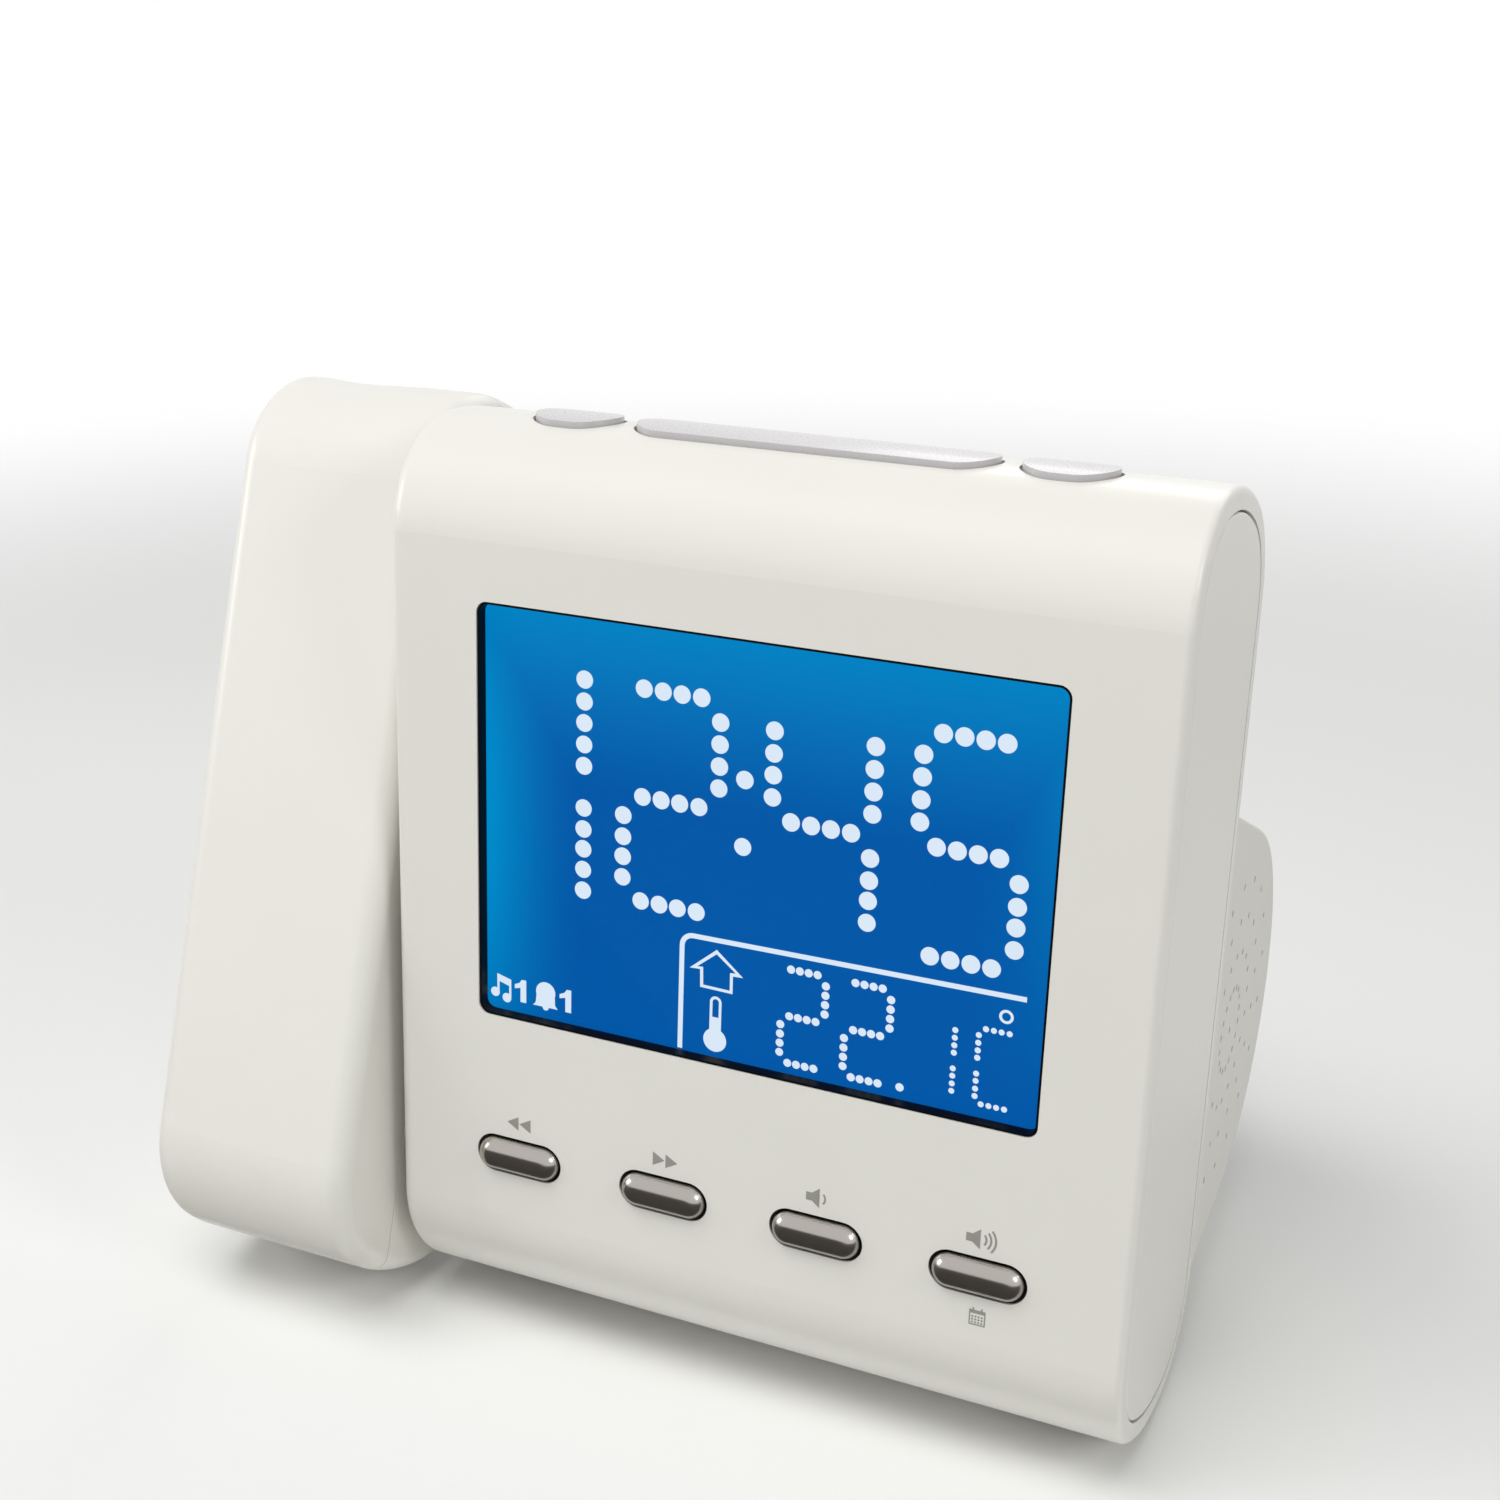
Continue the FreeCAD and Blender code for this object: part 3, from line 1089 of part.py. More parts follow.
# Power inlet and aerial gland
body_half = d.inlet_body / 2
inlet_end = INNER - d.inlet_depth - 1
mouth = BACK - 0.2
inlet_body = cuboid(
    (INLET.x - body_half, INLET.x + body_half), (inlet_end, INNER),
    (INLET.z - body_half, INLET.z + body_half),
)
barrel = tube(d.inlet_barrel, INLET + Vector(0, INNER - 1, 0), INLET + Vector(0, mouth, 0))
inlet_floor = mouth - d.inlet_depth
bore = tube(d.inlet_bore, INLET + Vector(0, inlet_floor, 0), INLET + Vector(0, mouth + 1, 0))
pin = tube(d.inlet_pin, INLET + Vector(0, inlet_floor - 0.5, 0), INLET + Vector(0, mouth - 1.2, 0))
feature("dc_inlet", inlet_body.fuse(barrel).cut(bore).fuse(pin).removeSplitter(), panel_frame)

lip = d.gland_radius + d.gland_lip
gland_tube = tube(d.gland_radius, GLAND + Vector(0, INNER - 0.8, 0), GLAND + Vector(0, BACK + 0.8, 0))
inner_lip = tube(lip, GLAND + Vector(0, INNER - 0.8, 0), GLAND + Vector(0, INNER, 0))
outer_lip = tube(lip, GLAND + Vector(0, BACK, 0), GLAND + Vector(0, BACK + 0.8, 0))
wire_hole = tube(d.gland_bore, GLAND + Vector(0, INNER - 2, 0), GLAND + Vector(0, BACK + 2, 0))
feature("aerial_gland", gland_tube.fuse([inner_lip, outer_lip]).cut(wire_hole).removeSplitter(), panel_frame)

# Projector arm on its pivot
front_shell, rear_shell = arm_halves()
feature("arm_front_shell", front_shell, arm_frame)
feature("arm_rear_shell", rear_shell, arm_frame)
feature("arm_screws", screws(arm_screw_spots()), arm_frame)
feature("pivot_hub", pivot_hub(), arm_frame)
clip_face = Vector(CLIP_START, 0, 0)
clip_back = Vector(CLIP_START + d.clip_thickness, 0, 0)
clip = tube(d.washer_radius, clip_face, clip_back).cut(
    tube(d.hub_radius - d.clip_groove, clip_face, clip_back)
)
mouth_x = (CLIP_START - 1, CLIP_START + 2 * d.clip_thickness)
clip_mouth = cuboid(mouth_x, (-d.hub_bore / 2, d.hub_bore / 2), (0, d.washer_radius + 1))
feature("pivot_clip", clip.cut(clip_mouth), arm_frame)
washer_start = -END + d.cap_thickness + d.bearing_length
washer_face = Vector(washer_start, 0, 0)
washer_back = Vector(washer_start + d.washer_thickness, 0, 0)
washer = tube(d.washer_radius, washer_face, washer_back).cut(
    tube(d.hub_radius + d.fit_gap, washer_face, washer_back)
)
feature("friction_washer", washer, panel_frame)

# Optics of the arm
feature("focus_barrel", focus_barrel(), arm_frame)
lens_radius = d.barrel_radius - d.barrel_wall
feature("lens_outer", lens(lens_radius, BARREL_TOP - d.lens_thickness), arm_frame)
feature("lens_inner", lens(lens_radius, BARREL_LOW + 1), arm_frame)
node(focus_wheel(), "focus_wheel", arm_frame, Vector(LENS_X, LENS_Y, WHEEL_LOW))
feature("lens_bracket", lens_bracket(), arm_frame)
feature("light_tunnel", light_tunnel(), arm_frame)
tunnel_corner = Vector(LENS_X - d.tunnel_side / 2, LENS_Y - d.tunnel_side / 2, d.tunnel_low)
node(
    block("time_slide", "tunnel_side", "tunnel_side", "slide_thickness"), "time_slide",
    arm_frame, Vector(tunnel_corner.x, tunnel_corner.y, TUNNEL_TOP),
)
node(
    block("led_board", "tunnel_side", "tunnel_side", "board_thickness"), "led_board",
    arm_frame, tunnel_corner - Vector(0, 0, d.board_thickness),
)
node(
    rod("lamp", "lamp_radius", "lamp_height"), "lamp", arm_frame,
    Vector(LENS_X, LENS_Y, d.tunnel_low),
)
inside_corner = tunnel_corner + Vector(d.tunnel_wall, d.tunnel_wall, d.condenser_low)
node(
    block("condenser", "tunnel_side - 2 * tunnel_wall", "tunnel_side - 2 * tunnel_wall",
          "condenser_thickness"),
    "condenser", arm_frame, inside_corner,
)

doc.recompute()

# Move the origin to the middle of the object, on the table
box = FreeCAD.BoundBox()
for obj in nodes:
    box.add(obj.Shape.optimalBoundingBox(False))
shift = Vector(-box.Center.x, -box.Center.y, PIVOT_HEIGHT)
for obj in nodes:
    obj.Placement = Placement(shift, Rotation()).multiply(obj.Placement)
doc.recompute()

for obj in doc.Objects:
    if "Invalid" in obj.State or "Error" in obj.State:
        raise RuntimeError(f"{obj.Name} failed: {obj.State}")
for obj in nodes:
    if obj.Shape.isNull() or not obj.Shape.isValid() or not obj.Shape.Solids:
        raise RuntimeError(f"{obj.Label} has no valid solid")

os.makedirs("parts", exist_ok=True)
for obj in nodes:
    obj.Shape.exportStep(os.path.join("parts", obj.Label + ".step"))
print(len(nodes), "nodes, box", box, "shift", shift)
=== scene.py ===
"""Looks of the projection alarm clock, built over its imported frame.

All sizes in the classes are millimetres in the leaning frame of the panel, where
X runs to the right, Y to the back and Z up the panel from the pivot of the arm.
"""
import json
import logging
import math
from dataclasses import dataclass, field
from enum import Enum
from typing import Callable, Iterable, Optional, Sequence, Union

import bpy
from mathutils import Matrix, Vector


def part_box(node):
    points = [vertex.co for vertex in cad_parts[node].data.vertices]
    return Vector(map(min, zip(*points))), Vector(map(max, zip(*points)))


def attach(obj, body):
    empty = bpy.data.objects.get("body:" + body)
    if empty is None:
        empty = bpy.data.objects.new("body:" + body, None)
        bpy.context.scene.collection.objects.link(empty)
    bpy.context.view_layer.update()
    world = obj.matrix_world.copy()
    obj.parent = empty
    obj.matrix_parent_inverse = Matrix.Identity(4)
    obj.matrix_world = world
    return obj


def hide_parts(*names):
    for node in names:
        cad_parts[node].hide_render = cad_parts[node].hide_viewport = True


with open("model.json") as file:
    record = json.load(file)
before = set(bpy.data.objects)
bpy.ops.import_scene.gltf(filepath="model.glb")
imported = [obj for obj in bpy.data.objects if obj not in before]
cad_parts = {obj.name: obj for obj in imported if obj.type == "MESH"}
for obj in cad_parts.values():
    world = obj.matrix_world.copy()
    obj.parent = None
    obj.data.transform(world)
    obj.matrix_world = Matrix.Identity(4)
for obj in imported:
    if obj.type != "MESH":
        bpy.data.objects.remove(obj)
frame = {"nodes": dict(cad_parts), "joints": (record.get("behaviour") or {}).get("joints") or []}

logging.basicConfig(level=logging.INFO, format="%(name)s: %(message)s")
LOG = logging.getLogger("clock")

MM = 0.001
DULL = 0.05  # specular level of the lit glass and its marks
MARK_GAP = 0.005  # gap between the glass and its marks, mm
PRINT_GAP = 0.01  # gap under the printed symbols and the solder pads, mm
CORNER_X = 49.23  # from the display's left edge to the panel's middle, mm
CORNER_Z = 52.7  # from the pivot up to the display's top edge, mm
MIDDLE_Z = 16.95  # from the pivot up to the display's middle, mm
Point = tuple[float, float]
Colour = tuple[float, float, float]


def linear(red: float, green: float, blue: float) -> Colour:
    """Turn an sRGB colour into linear light.

    Args:
        red: red from 0 to 255.
        green: green from 0 to 255.
        blue: blue from 0 to 255.

    Returns:
        The colour as three linear numbers.
    """
    out = []
    for channel in (red, green, blue):
        share = channel / 255
        out.append(share / 12.92 if share <= 0.04045 else ((share + 0.055) / 1.055) ** 2.4)
    return out[0], out[1], out[2]


# ---------------------------------------------------------------- shader maths
def operation(kind: str, swapped: bool = False) -> Callable[["Port", "Term"], "Port"]:
    """Make an operator of ports.

    Args:
        kind: the operation.
        swapped: whether the port stands on the right of a number.

    Returns:
        The operator.
    """
    def join(port: "Port", other: "Term") -> "Port":
        """Join the port with a number or another port."""
        pair = (other, port) if swapped else (port, other)
        return port.graph.maths(kind, *pair)

    return join


@dataclass(frozen=True)
class Port:
    """An output socket that can be used in sums and products."""

    graph: "Graph"
    socket: bpy.types.NodeSocket

    __add__ = operation("ADD")
    __radd__ = operation("ADD", swapped=True)
    __sub__ = operation("SUBTRACT")
    __rsub__ = operation("SUBTRACT", swapped=True)
    __mul__ = operation("MULTIPLY")
    __rmul__ = operation("MULTIPLY", swapped=True)
    __truediv__ = operation("DIVIDE")
    __pow__ = operation("POWER")

    def clamped(self) -> "Port":
        """Hold the value between 0 and 1."""
        return self.graph.maths("MINIMUM", self.graph.maths("MAXIMUM", self, 0.0), 1.0)

    def above(self, limit: float, soft: float) -> "Port":
        """Rise from 0 to 1 around a limit.

        Args:
            limit: value where the step has half its height.
            soft: width of the step.

        Returns:
            The step.
        """
        return ((self - limit) / soft + 0.5).clamped()


Term = Union[Port, float]


class Graph:
    """Makes and joins the nodes of one material, world or geometry tree."""

    def __init__(self, tree: bpy.types.NodeTree) -> None:
        """Take a tree and clear it.

        Args:
            tree: the node tree to fill.
        """
        self.tree = tree
        tree.nodes.clear()

    def node(self, kind: str, inputs: Optional[dict] = None, **settings: object) -> bpy.types.Node:
        """Make a node.

        Args:
            kind: Blender's name for the node type.
            inputs: values or ports by input name or number.
            settings: properties of the node itself.

        Returns:
            The new node.
        """
        made = self.tree.nodes.new(kind)
        for name, value in settings.items():
            setattr(made, name, value)
        for key, value in (inputs or {}).items():
            self.feed(made.inputs[key], value)
        return made

    def port(
        self, kind: str, inputs: Optional[dict] = None, output: Union[int, str] = 0,
        **settings: object,
    ) -> Port:
        """Make a node, as node() does, and give one of its outputs."""
        return Port(self, self.node(kind, inputs, **settings).outputs[output])

    def feed(self, socket: bpy.types.NodeSocket, value: object) -> None:
        """Link a port to an input, or set the input's own value.

        Args:
            socket: the input.
            value: a port, a number or a colour.
        """
        if isinstance(value, Port):
            self.tree.links.new(value.socket, socket)
        elif isinstance(value, tuple) and socket.type == "RGBA":
            socket.default_value = (*value, 1.0)
        else:
            socket.default_value = value

    def maths(self, kind: str, first: Term, second: Term) -> Port:
        """Join two numbers with one operation.

        Args:
            kind: the operation.
            first: left side.
            second: right side.

        Returns:
            The result.
        """
        return self.port("ShaderNodeMath", {0: first, 1: second}, operation=kind)

    def coordinates(self) -> Port:
        """Give the object coordinates, in metres."""
        return self.port("ShaderNodeTexCoord", output="Object")

    def along(self, place: Port, direction: Vector, start: Vector) -> Port:
        """Measure how far a place lies along a direction, in millimetres.

        Args:
            place: coordinates in metres.
            direction: unit vector.
            start: point where the measure is zero, in metres.

        Returns:
            The distance.
        """
        inputs = {0: place, 1: tuple(direction)}
        dot = self.port("ShaderNodeVectorMath", inputs, "Value", operation="DOT_PRODUCT")
        return (dot - direction.dot(start)) * (1 / MM)

    def noise(self, place: Port, scale: float, detail: float = 2.0) -> Port:
        """Give a smooth noise with a mean near one half.

        Args:
            place: coordinates in metres.
            scale: bumps per metre.
            detail: layers of finer noise.

        Returns:
            The noise.
        """
        inputs = {"Vector": place, "Scale": scale, "Detail": detail, "Roughness": 0.5}
        return self.port("ShaderNodeTexNoise", inputs)

    def blend(self, share: Term, first: Union[Port, Colour], second: Union[Port, Colour]) -> Port:
        """Mix two colours.

        Args:
            share: 0 for the first, 1 for the second.
            first: a colour.
            second: a colour.

        Returns:
            The mixed colour.
        """
        return self.port("ShaderNodeMix", {0: share, 6: first, 7: second}, 2, data_type="RGBA")

    def bump(self, height: Port, depth: float) -> Port:
        """Turn a height into a normal.

        Args:
            height: height from 0 to 1.
            depth: depth of the relief in metres.

        Returns:
            The normal.
        """
        return self.port("ShaderNodeBump", {"Height": height, "Distance": depth, "Strength": 1.0})

    def surface(self, **inputs: object) -> None:
        """End the material in one principled shader.

        Args:
            inputs: values by input name, with underscores for spaces.
        """
        named = {name.replace("_", " "): value for name, value in inputs.items()}
        shader = self.port("ShaderNodeBsdfPrincipled", named)
        self.node("ShaderNodeOutputMaterial", {"Surface": shader})


# ---------------------------------------------------------------- finishes
@dataclass(frozen=True)
class Finish:
    """What every finish shares."""

    name: str

    def material(self) -> bpy.types.Material:
        """Give the material, made on first use.

        Returns:
            The material.
        """
        name = "look_" + self.name
        made = bpy.data.materials.get(name)
        if made is None:
            made = bpy.data.materials.new(name)
            made.use_nodes = True
            self.paint(Graph(made.node_tree))
        return made

    def paint(self, graph: Graph) -> None:
        """Fill the material's graph, which is empty."""
        raise NotImplementedError


@dataclass(frozen=True)
class Moulded(Finish):
    """Injection-moulded plastic with a fine grain and a slight mottle."""

    colour: Colour
    rough: float = 0.4
    coat: float = 0.0
    grain: float = 0.004
    mottle: float = 0.03
    grain_scale: float = 2600.0
    cloud_scale: float = 45.0
    uneven: float = 0.06
    coat_rough: float = 0.12
    shine: float = 0.5

    def paint(self, graph: Graph) -> None:
        """Fill the material's graph.

        Args:
            graph: the empty graph.
        """
        place = graph.coordinates()
        cloud = graph.noise(place, self.cloud_scale, 3.0)
        fine = graph.noise(place, self.grain_scale)
        dark = tuple(c * (1 - self.mottle) for c in self.colour)
        graph.surface(
            Base_Color=graph.blend(cloud, self.colour, dark),
            Roughness=self.rough + (fine - 0.5) * self.uneven,
            Specular_IOR_Level=self.shine,
            Coat_Weight=self.coat,
            Coat_Roughness=self.coat_rough,
            Normal=graph.bump(fine, self.grain * MM),
        )


@dataclass(frozen=True)
class Plated(Finish):
    """Plated or bare metal with faint brush marks."""

    colour: Colour
    rough: float = 0.16
    marks: float = 0.05
    stretch: tuple[float, float, float] = (60.0, 1500.0, 1500.0)

    def paint(self, graph: Graph) -> None:
        """Fill the material's graph.

        Args:
            graph: the empty graph.
        """
        inputs = {0: graph.coordinates(), 1: self.stretch}
        streak = graph.noise(graph.port("ShaderNodeVectorMath", inputs, operation="MULTIPLY"), 1.0)
        graph.surface(
            Base_Color=self.colour,
            Metallic=1.0,
            Roughness=self.rough + (streak - 0.5) * self.marks,
        )


@dataclass(frozen=True)
class Circuit(Finish):
    """Solder resist over copper tracks."""

    resist: Colour
    track: Colour
    scale: float = 210.0
    width: float = 0.06
    rough: float = 0.35
    relief: float = 0.03

    def paint(self, graph: Graph) -> None:
        """Fill the material's graph.

        Args:
            graph: the empty graph.
        """
        cells = graph.port(
            "ShaderNodeTexVoronoi", {"Vector": graph.coordinates(), "Scale": self.scale},
            distance="MANHATTAN", feature="DISTANCE_TO_EDGE",
        )
        lines = 1.0 - cells.above(self.width, self.width / 3)
        graph.surface(
            Base_Color=graph.blend(lines * 0.5, self.resist, self.track),
            Roughness=self.rough + lines * 0.1,
            Normal=graph.bump(lines, self.relief * MM),
        )


@dataclass(frozen=True)
class Clear(Finish):
    """Clear plastic or glass."""

    tint: Colour
    alpha: float = 1.0
    transmission: float = 1.0

    def paint(self, graph: Graph) -> None:
        """Fill the material's graph.

        Args:
            graph: the empty graph.
        """
        haze = graph.noise(graph.coordinates(), 90.0)
        graph.surface(
            Base_Color=self.tint,
            Roughness=0.02 + haze * 0.02,
            IOR=1.49,
            Alpha=self.alpha,
            Transmission_Weight=self.transmission,
        )


@dataclass(frozen=True)
class Glowing(Finish):
    """A lit mark of the display."""

    colour: Colour
    dimmest: float = 0.93

    def paint(self, graph: Graph) -> None:
        """Fill the material's graph.

        Args:
            graph: the empty graph.
        """
        cloud = graph.noise(graph.coordinates(), 60.0)
        dim = tuple(c * self.dimmest for c in self.colour)
        graph.surface(
            Base_Color=(0.02, 0.02, 0.03),
            Roughness=0.5,
            Specular_IOR_Level=DULL,
            Emission_Color=graph.blend(cloud, self.colour, dim),
            Emission_Strength=1.0,
        )


@dataclass(frozen=True)
class Backlit(Finish):
    """The blue glass of the display, brighter near its lamps at the edges.

    Each glow falls off over its reach by a power. The left one also weakens away from the
    middle and the right one towards the bottom.
    """

    deep: Colour
    lit: Colour
    origin: tuple[float, float, float]
    angle: float
    half_x: float
    half_z: float
    left_reach: float = 17.0
    left_power: float = 1.6
    left_span: float = 40.0
    left_loss: float = 0.6
    right_reach: float = 15.0
    right_power: float = 1.8
    right_middle: float = 0.35
    right_span: float = 90.0
    top_reach: float = 30.0
    top_power: float = 1.3
    top_strength: float = 0.85

    def paint(self, graph: Graph) -> None:
        """Fill the material's graph.

        Args:
            graph: the empty graph.
        """
        place = graph.coordinates()
        start = Vector(self.origin)
        across = graph.along(place, Vector((1.0, 0.0, 0.0)), start)
        up_axis = Vector((0.0, math.sin(self.angle), math.cos(self.angle)))
        up = graph.along(place, up_axis, start) - MIDDLE_Z
        from_left = ((across + self.half_x) / self.left_reach).clamped()
        from_right = ((self.half_x - across) / self.right_reach).clamped()
        from_top = ((self.half_z - up) / self.top_reach).clamped()
        left = (1.0 - from_left) ** self.left_power
        left = left * (1.0 - (up / self.left_span) ** 2.0 * self.left_loss).clamped()
        right = (1.0 - from_right) ** self.right_power
        right = right * (self.right_middle + up / self.right_span).clamped()
        top = (1.0 - from_top) ** self.top_power * self.top_strength
        glow = graph.maths("MAXIMUM", graph.maths("MAXIMUM", left, top), right).clamped()
        graph.surface(
            Base_Color=(0.002, 0.006, 0.02),
            Roughness=0.5,
            Specular_IOR_Level=DULL,
            Emission_Color=graph.blend(glow, self.deep, self.lit),
            Emission_Strength=1.0,
        )


@dataclass(frozen=True)
class Soft(Finish):
    """Rubber, foam or paper: matt with a coarse grain."""

    colour: Colour
    rough: float = 0.85
    scale: float = 900.0

    def paint(self, graph: Graph) -> None:
        """Fill the material's graph.

        Args:
            graph: the empty graph.
        """
        grain = graph.noise(graph.coordinates(), self.scale, 3.0)
        light = tuple(min(1.0, c * 1.25 + 0.004) for c in self.colour)
        graph.surface(
            Base_Color=graph.blend(grain, self.colour, light),
            Roughness=self.rough,
            Normal=graph.bump(grain, 0.05 * MM),
        )


@dataclass(frozen=True)
class FadingFloor(Finish):
    """Pale paper that fades into the white surroundings away from the clock."""

    colour: Colour
    solid: float = 380.0
    fade: float = 420.0

    def paint(self, graph: Graph) -> None:
        """Fill the material's graph.

        Args:
            graph: the empty graph.
        """
        inputs = {0: graph.coordinates()}
        far = graph.port("ShaderNodeVectorMath", inputs, "Value", operation="LENGTH")
        away = (far * (1 / MM) - self.solid) / self.fade
        share = 1.0 - away.clamped()
        graph.surface(
            Base_Color=self.colour,
            Roughness=0.85,
            Specular_IOR_Level=0.1,
            Alpha=share * share * (3.0 - 2.0 * share),
        )


class Look(Enum):
    """The finishes of the clock."""

    CASE = Moulded("case_ivory", linear(226, 224, 216), 0.36, 0.25)
    ARM = Moulded("arm_ivory", linear(226, 224, 216), 0.38, 0.2)
    POD = Moulded("housing_ivory", linear(222, 220, 212), 0.5, 0.0, 0.01)
    TOP_KEY = Moulded("top_key_pearl", linear(198, 195, 196), 0.28, 0.2)
    CHROME = Plated("chrome", linear(180, 176, 169), 0.2)
    GREY = Moulded("grey_plastic", linear(184, 184, 178), 0.42)
    DARK = Moulded("dark_plastic", linear(24, 24, 26), 0.5)
    BEZEL = Moulded("bezel_black", linear(5, 5, 8), 0.45, shine=0.12)
    # painted shade: near-black rings that stand in for the shade in the gaps round the front
    # buttons
    SLOT_SHADE = Soft("painted_slot_shade", linear(14, 13, 13), 0.95)
    # painted shade: dark discs that stand in for the shade inside the sound holes
    CLOTH = Soft("painted_hole_shade", linear(58, 55, 52), 0.95, 1400.0)
    WHITE = Moulded("white_plastic", linear(238, 238, 234), 0.45)
    BOARD = Circuit("circuit_board", linear(28, 84, 48), linear(96, 132, 70))
    STEEL = Plated("steel", linear(176, 178, 182), 0.28)
    BRASS = Plated("copper_pads", linear(214, 190, 150), 0.3)
    MAGNET = Soft("ferrite", linear(46, 46, 50), 0.55)
    CONE = Soft("cone_paper", linear(34, 33, 34), 0.9)
    RUBBER = Soft("rubber", linear(58, 58, 60), 0.8)
    WINDOW = Clear("clear_window", linear(12, 14, 20), 0.03, 0.0)
    LENS = Clear("lens_glass", linear(236, 240, 248))
    LAMP = Clear("lamp_epoxy", linear(222, 60, 50))
    MARK = Soft("grey_print", linear(138, 136, 129), 0.6)
    DOT = Glowing("lit_marks", linear(222, 237, 252))

    def material(self) -> bpy.types.Material:
        """Give the material of this look."""
        return self.value.material()


# ---------------------------------------------------------------- frames and outlines
@dataclass(frozen=True)
class LeaningFrame:
    """A frame on the pivot axis that leans back by an angle.

    A sideways one is for plates that face to the right: its first number counts to the
    back and its second to the right.
    """

    origin: tuple[float, float, float]
    angle: float
    sideways: bool = False

    @classmethod
    def read(cls) -> "LeaningFrame":
        """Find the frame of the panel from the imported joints.

        Returns:
            The frame.
        """
        joints = {joint["name"]: joint for joint in frame["joints"]}
        press = joints["front_button_1_press"]["axis"]
        pivot = joints["arm_swivel"]["pos_m"]
        low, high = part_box("front_housing")
        origin = ((low[0] + high[0]) / 2, pivot[1], pivot[2])
        return cls(origin, math.atan2(-press[2], press[1]))

    def place(self, x: float, y: float, z: float) -> Vector:
        """Turn millimetres in the frame into metres in the world.

        Args:
            x: to the right.
            y: to the back.
            z: up the panel.

        Returns:
            The point.
        """
        if self.sideways:
            x, y = y, x
        c, s = math.cos(self.angle), math.sin(self.angle)
        return Vector(self.origin) + Vector((x, y * c + z * s, z * c - y * s)) * MM

    @property
    def tilt(self) -> tuple[float, float, float]:
        """Euler angles that turn an upright Z axis to point out of the plates."""
        half = math.pi / 2
        return (0.0, half, 0.0) if self.sideways else (half - self.angle, 0.0, 0.0)


def disc(x: float, z: float, radius: float, sides: int = 32) -> list[Point]:
    """List the corners of a round outline.

    Args:
        x: centre.
        z: centre.
        radius: radius.
        sides: number of corners.

    Returns:
        The corners, counter-clockwise.
    """
    turns = (2 * math.pi * i / sides for i in range(sides))
    return [(x + radius * math.cos(a), z + radius * math.sin(a)) for a in turns]


def arc(x: float, z: float, radius: float, start: float, end: float, steps: int) -> list[Point]:
    """List points along an arc.

    Args:
        x: centre.
        z: centre.
        radius: radius.
        start: first angle in degrees.
        end: last angle in degrees.
        steps: number of steps.

    Returns:
        The points.
    """
    turns = (math.radians(start + (end - start) * i / steps) for i in range(steps + 1))
    return [(x + radius * math.cos(a), z + radius * math.sin(a)) for a in turns]


def box(left: float, right: float, low: float, high: float) -> list[Point]:
    """List the corners of a rectangle.

    Args:
        left: lowest X.
        right: highest X.
        low: lowest Z.
        high: highest Z.

    Returns:
        The corners, counter-clockwise.
    """
    return [(left, low), (right, low), (right, high), (left, high)]


def rounded(wide: float, high: float, radius: float, x: float, z: float) -> list[Point]:
    """List the corners of a rectangle with round corners, or of a pill.

    Args:
        wide: width.
        high: height.
        radius: radius of its corners.
        x: middle.
        z: middle.

    Returns:
        The corners, counter-clockwise.
    """
    side, rise = wide / 2 - radius, high / 2 - radius
    out = []
    for turn, (right, up) in enumerate(((1, 1), (-1, 1), (-1, -1), (1, -1))):
        out += arc(x + right * side, z + up * rise, radius, turn * 90, turn * 90 + 90, 8)
    return out


def stroke(points: Sequence[Point], width: float) -> list[Point]:
    """Give a line a width, with mitred bends.

    Args:
        points: the line.
        width: its width.

    Returns:
        The outline of the widened line.
    """
    left, right = [], []
    for i, (x, z) in enumerate(points):
        before = points[max(i - 1, 0)]
        after = points[min(i + 1, len(points) - 1)]
        first = Vector((x - before[0], z - before[1]))
        second = Vector((after[0] - x, after[1] - z))
        first = first.normalized() if first.length > 1e-9 else second.normalized()
        second = second.normalized() if second.length > 1e-9 else first
        way = (first + second).normalized()
        reach = width / 2 / max(way.dot(first), 0.4)
        left.append((x - way.y * reach, z + way.x * reach))
        right.append((x + way.y * reach, z - way.x * reach))
    return left + right[::-1]


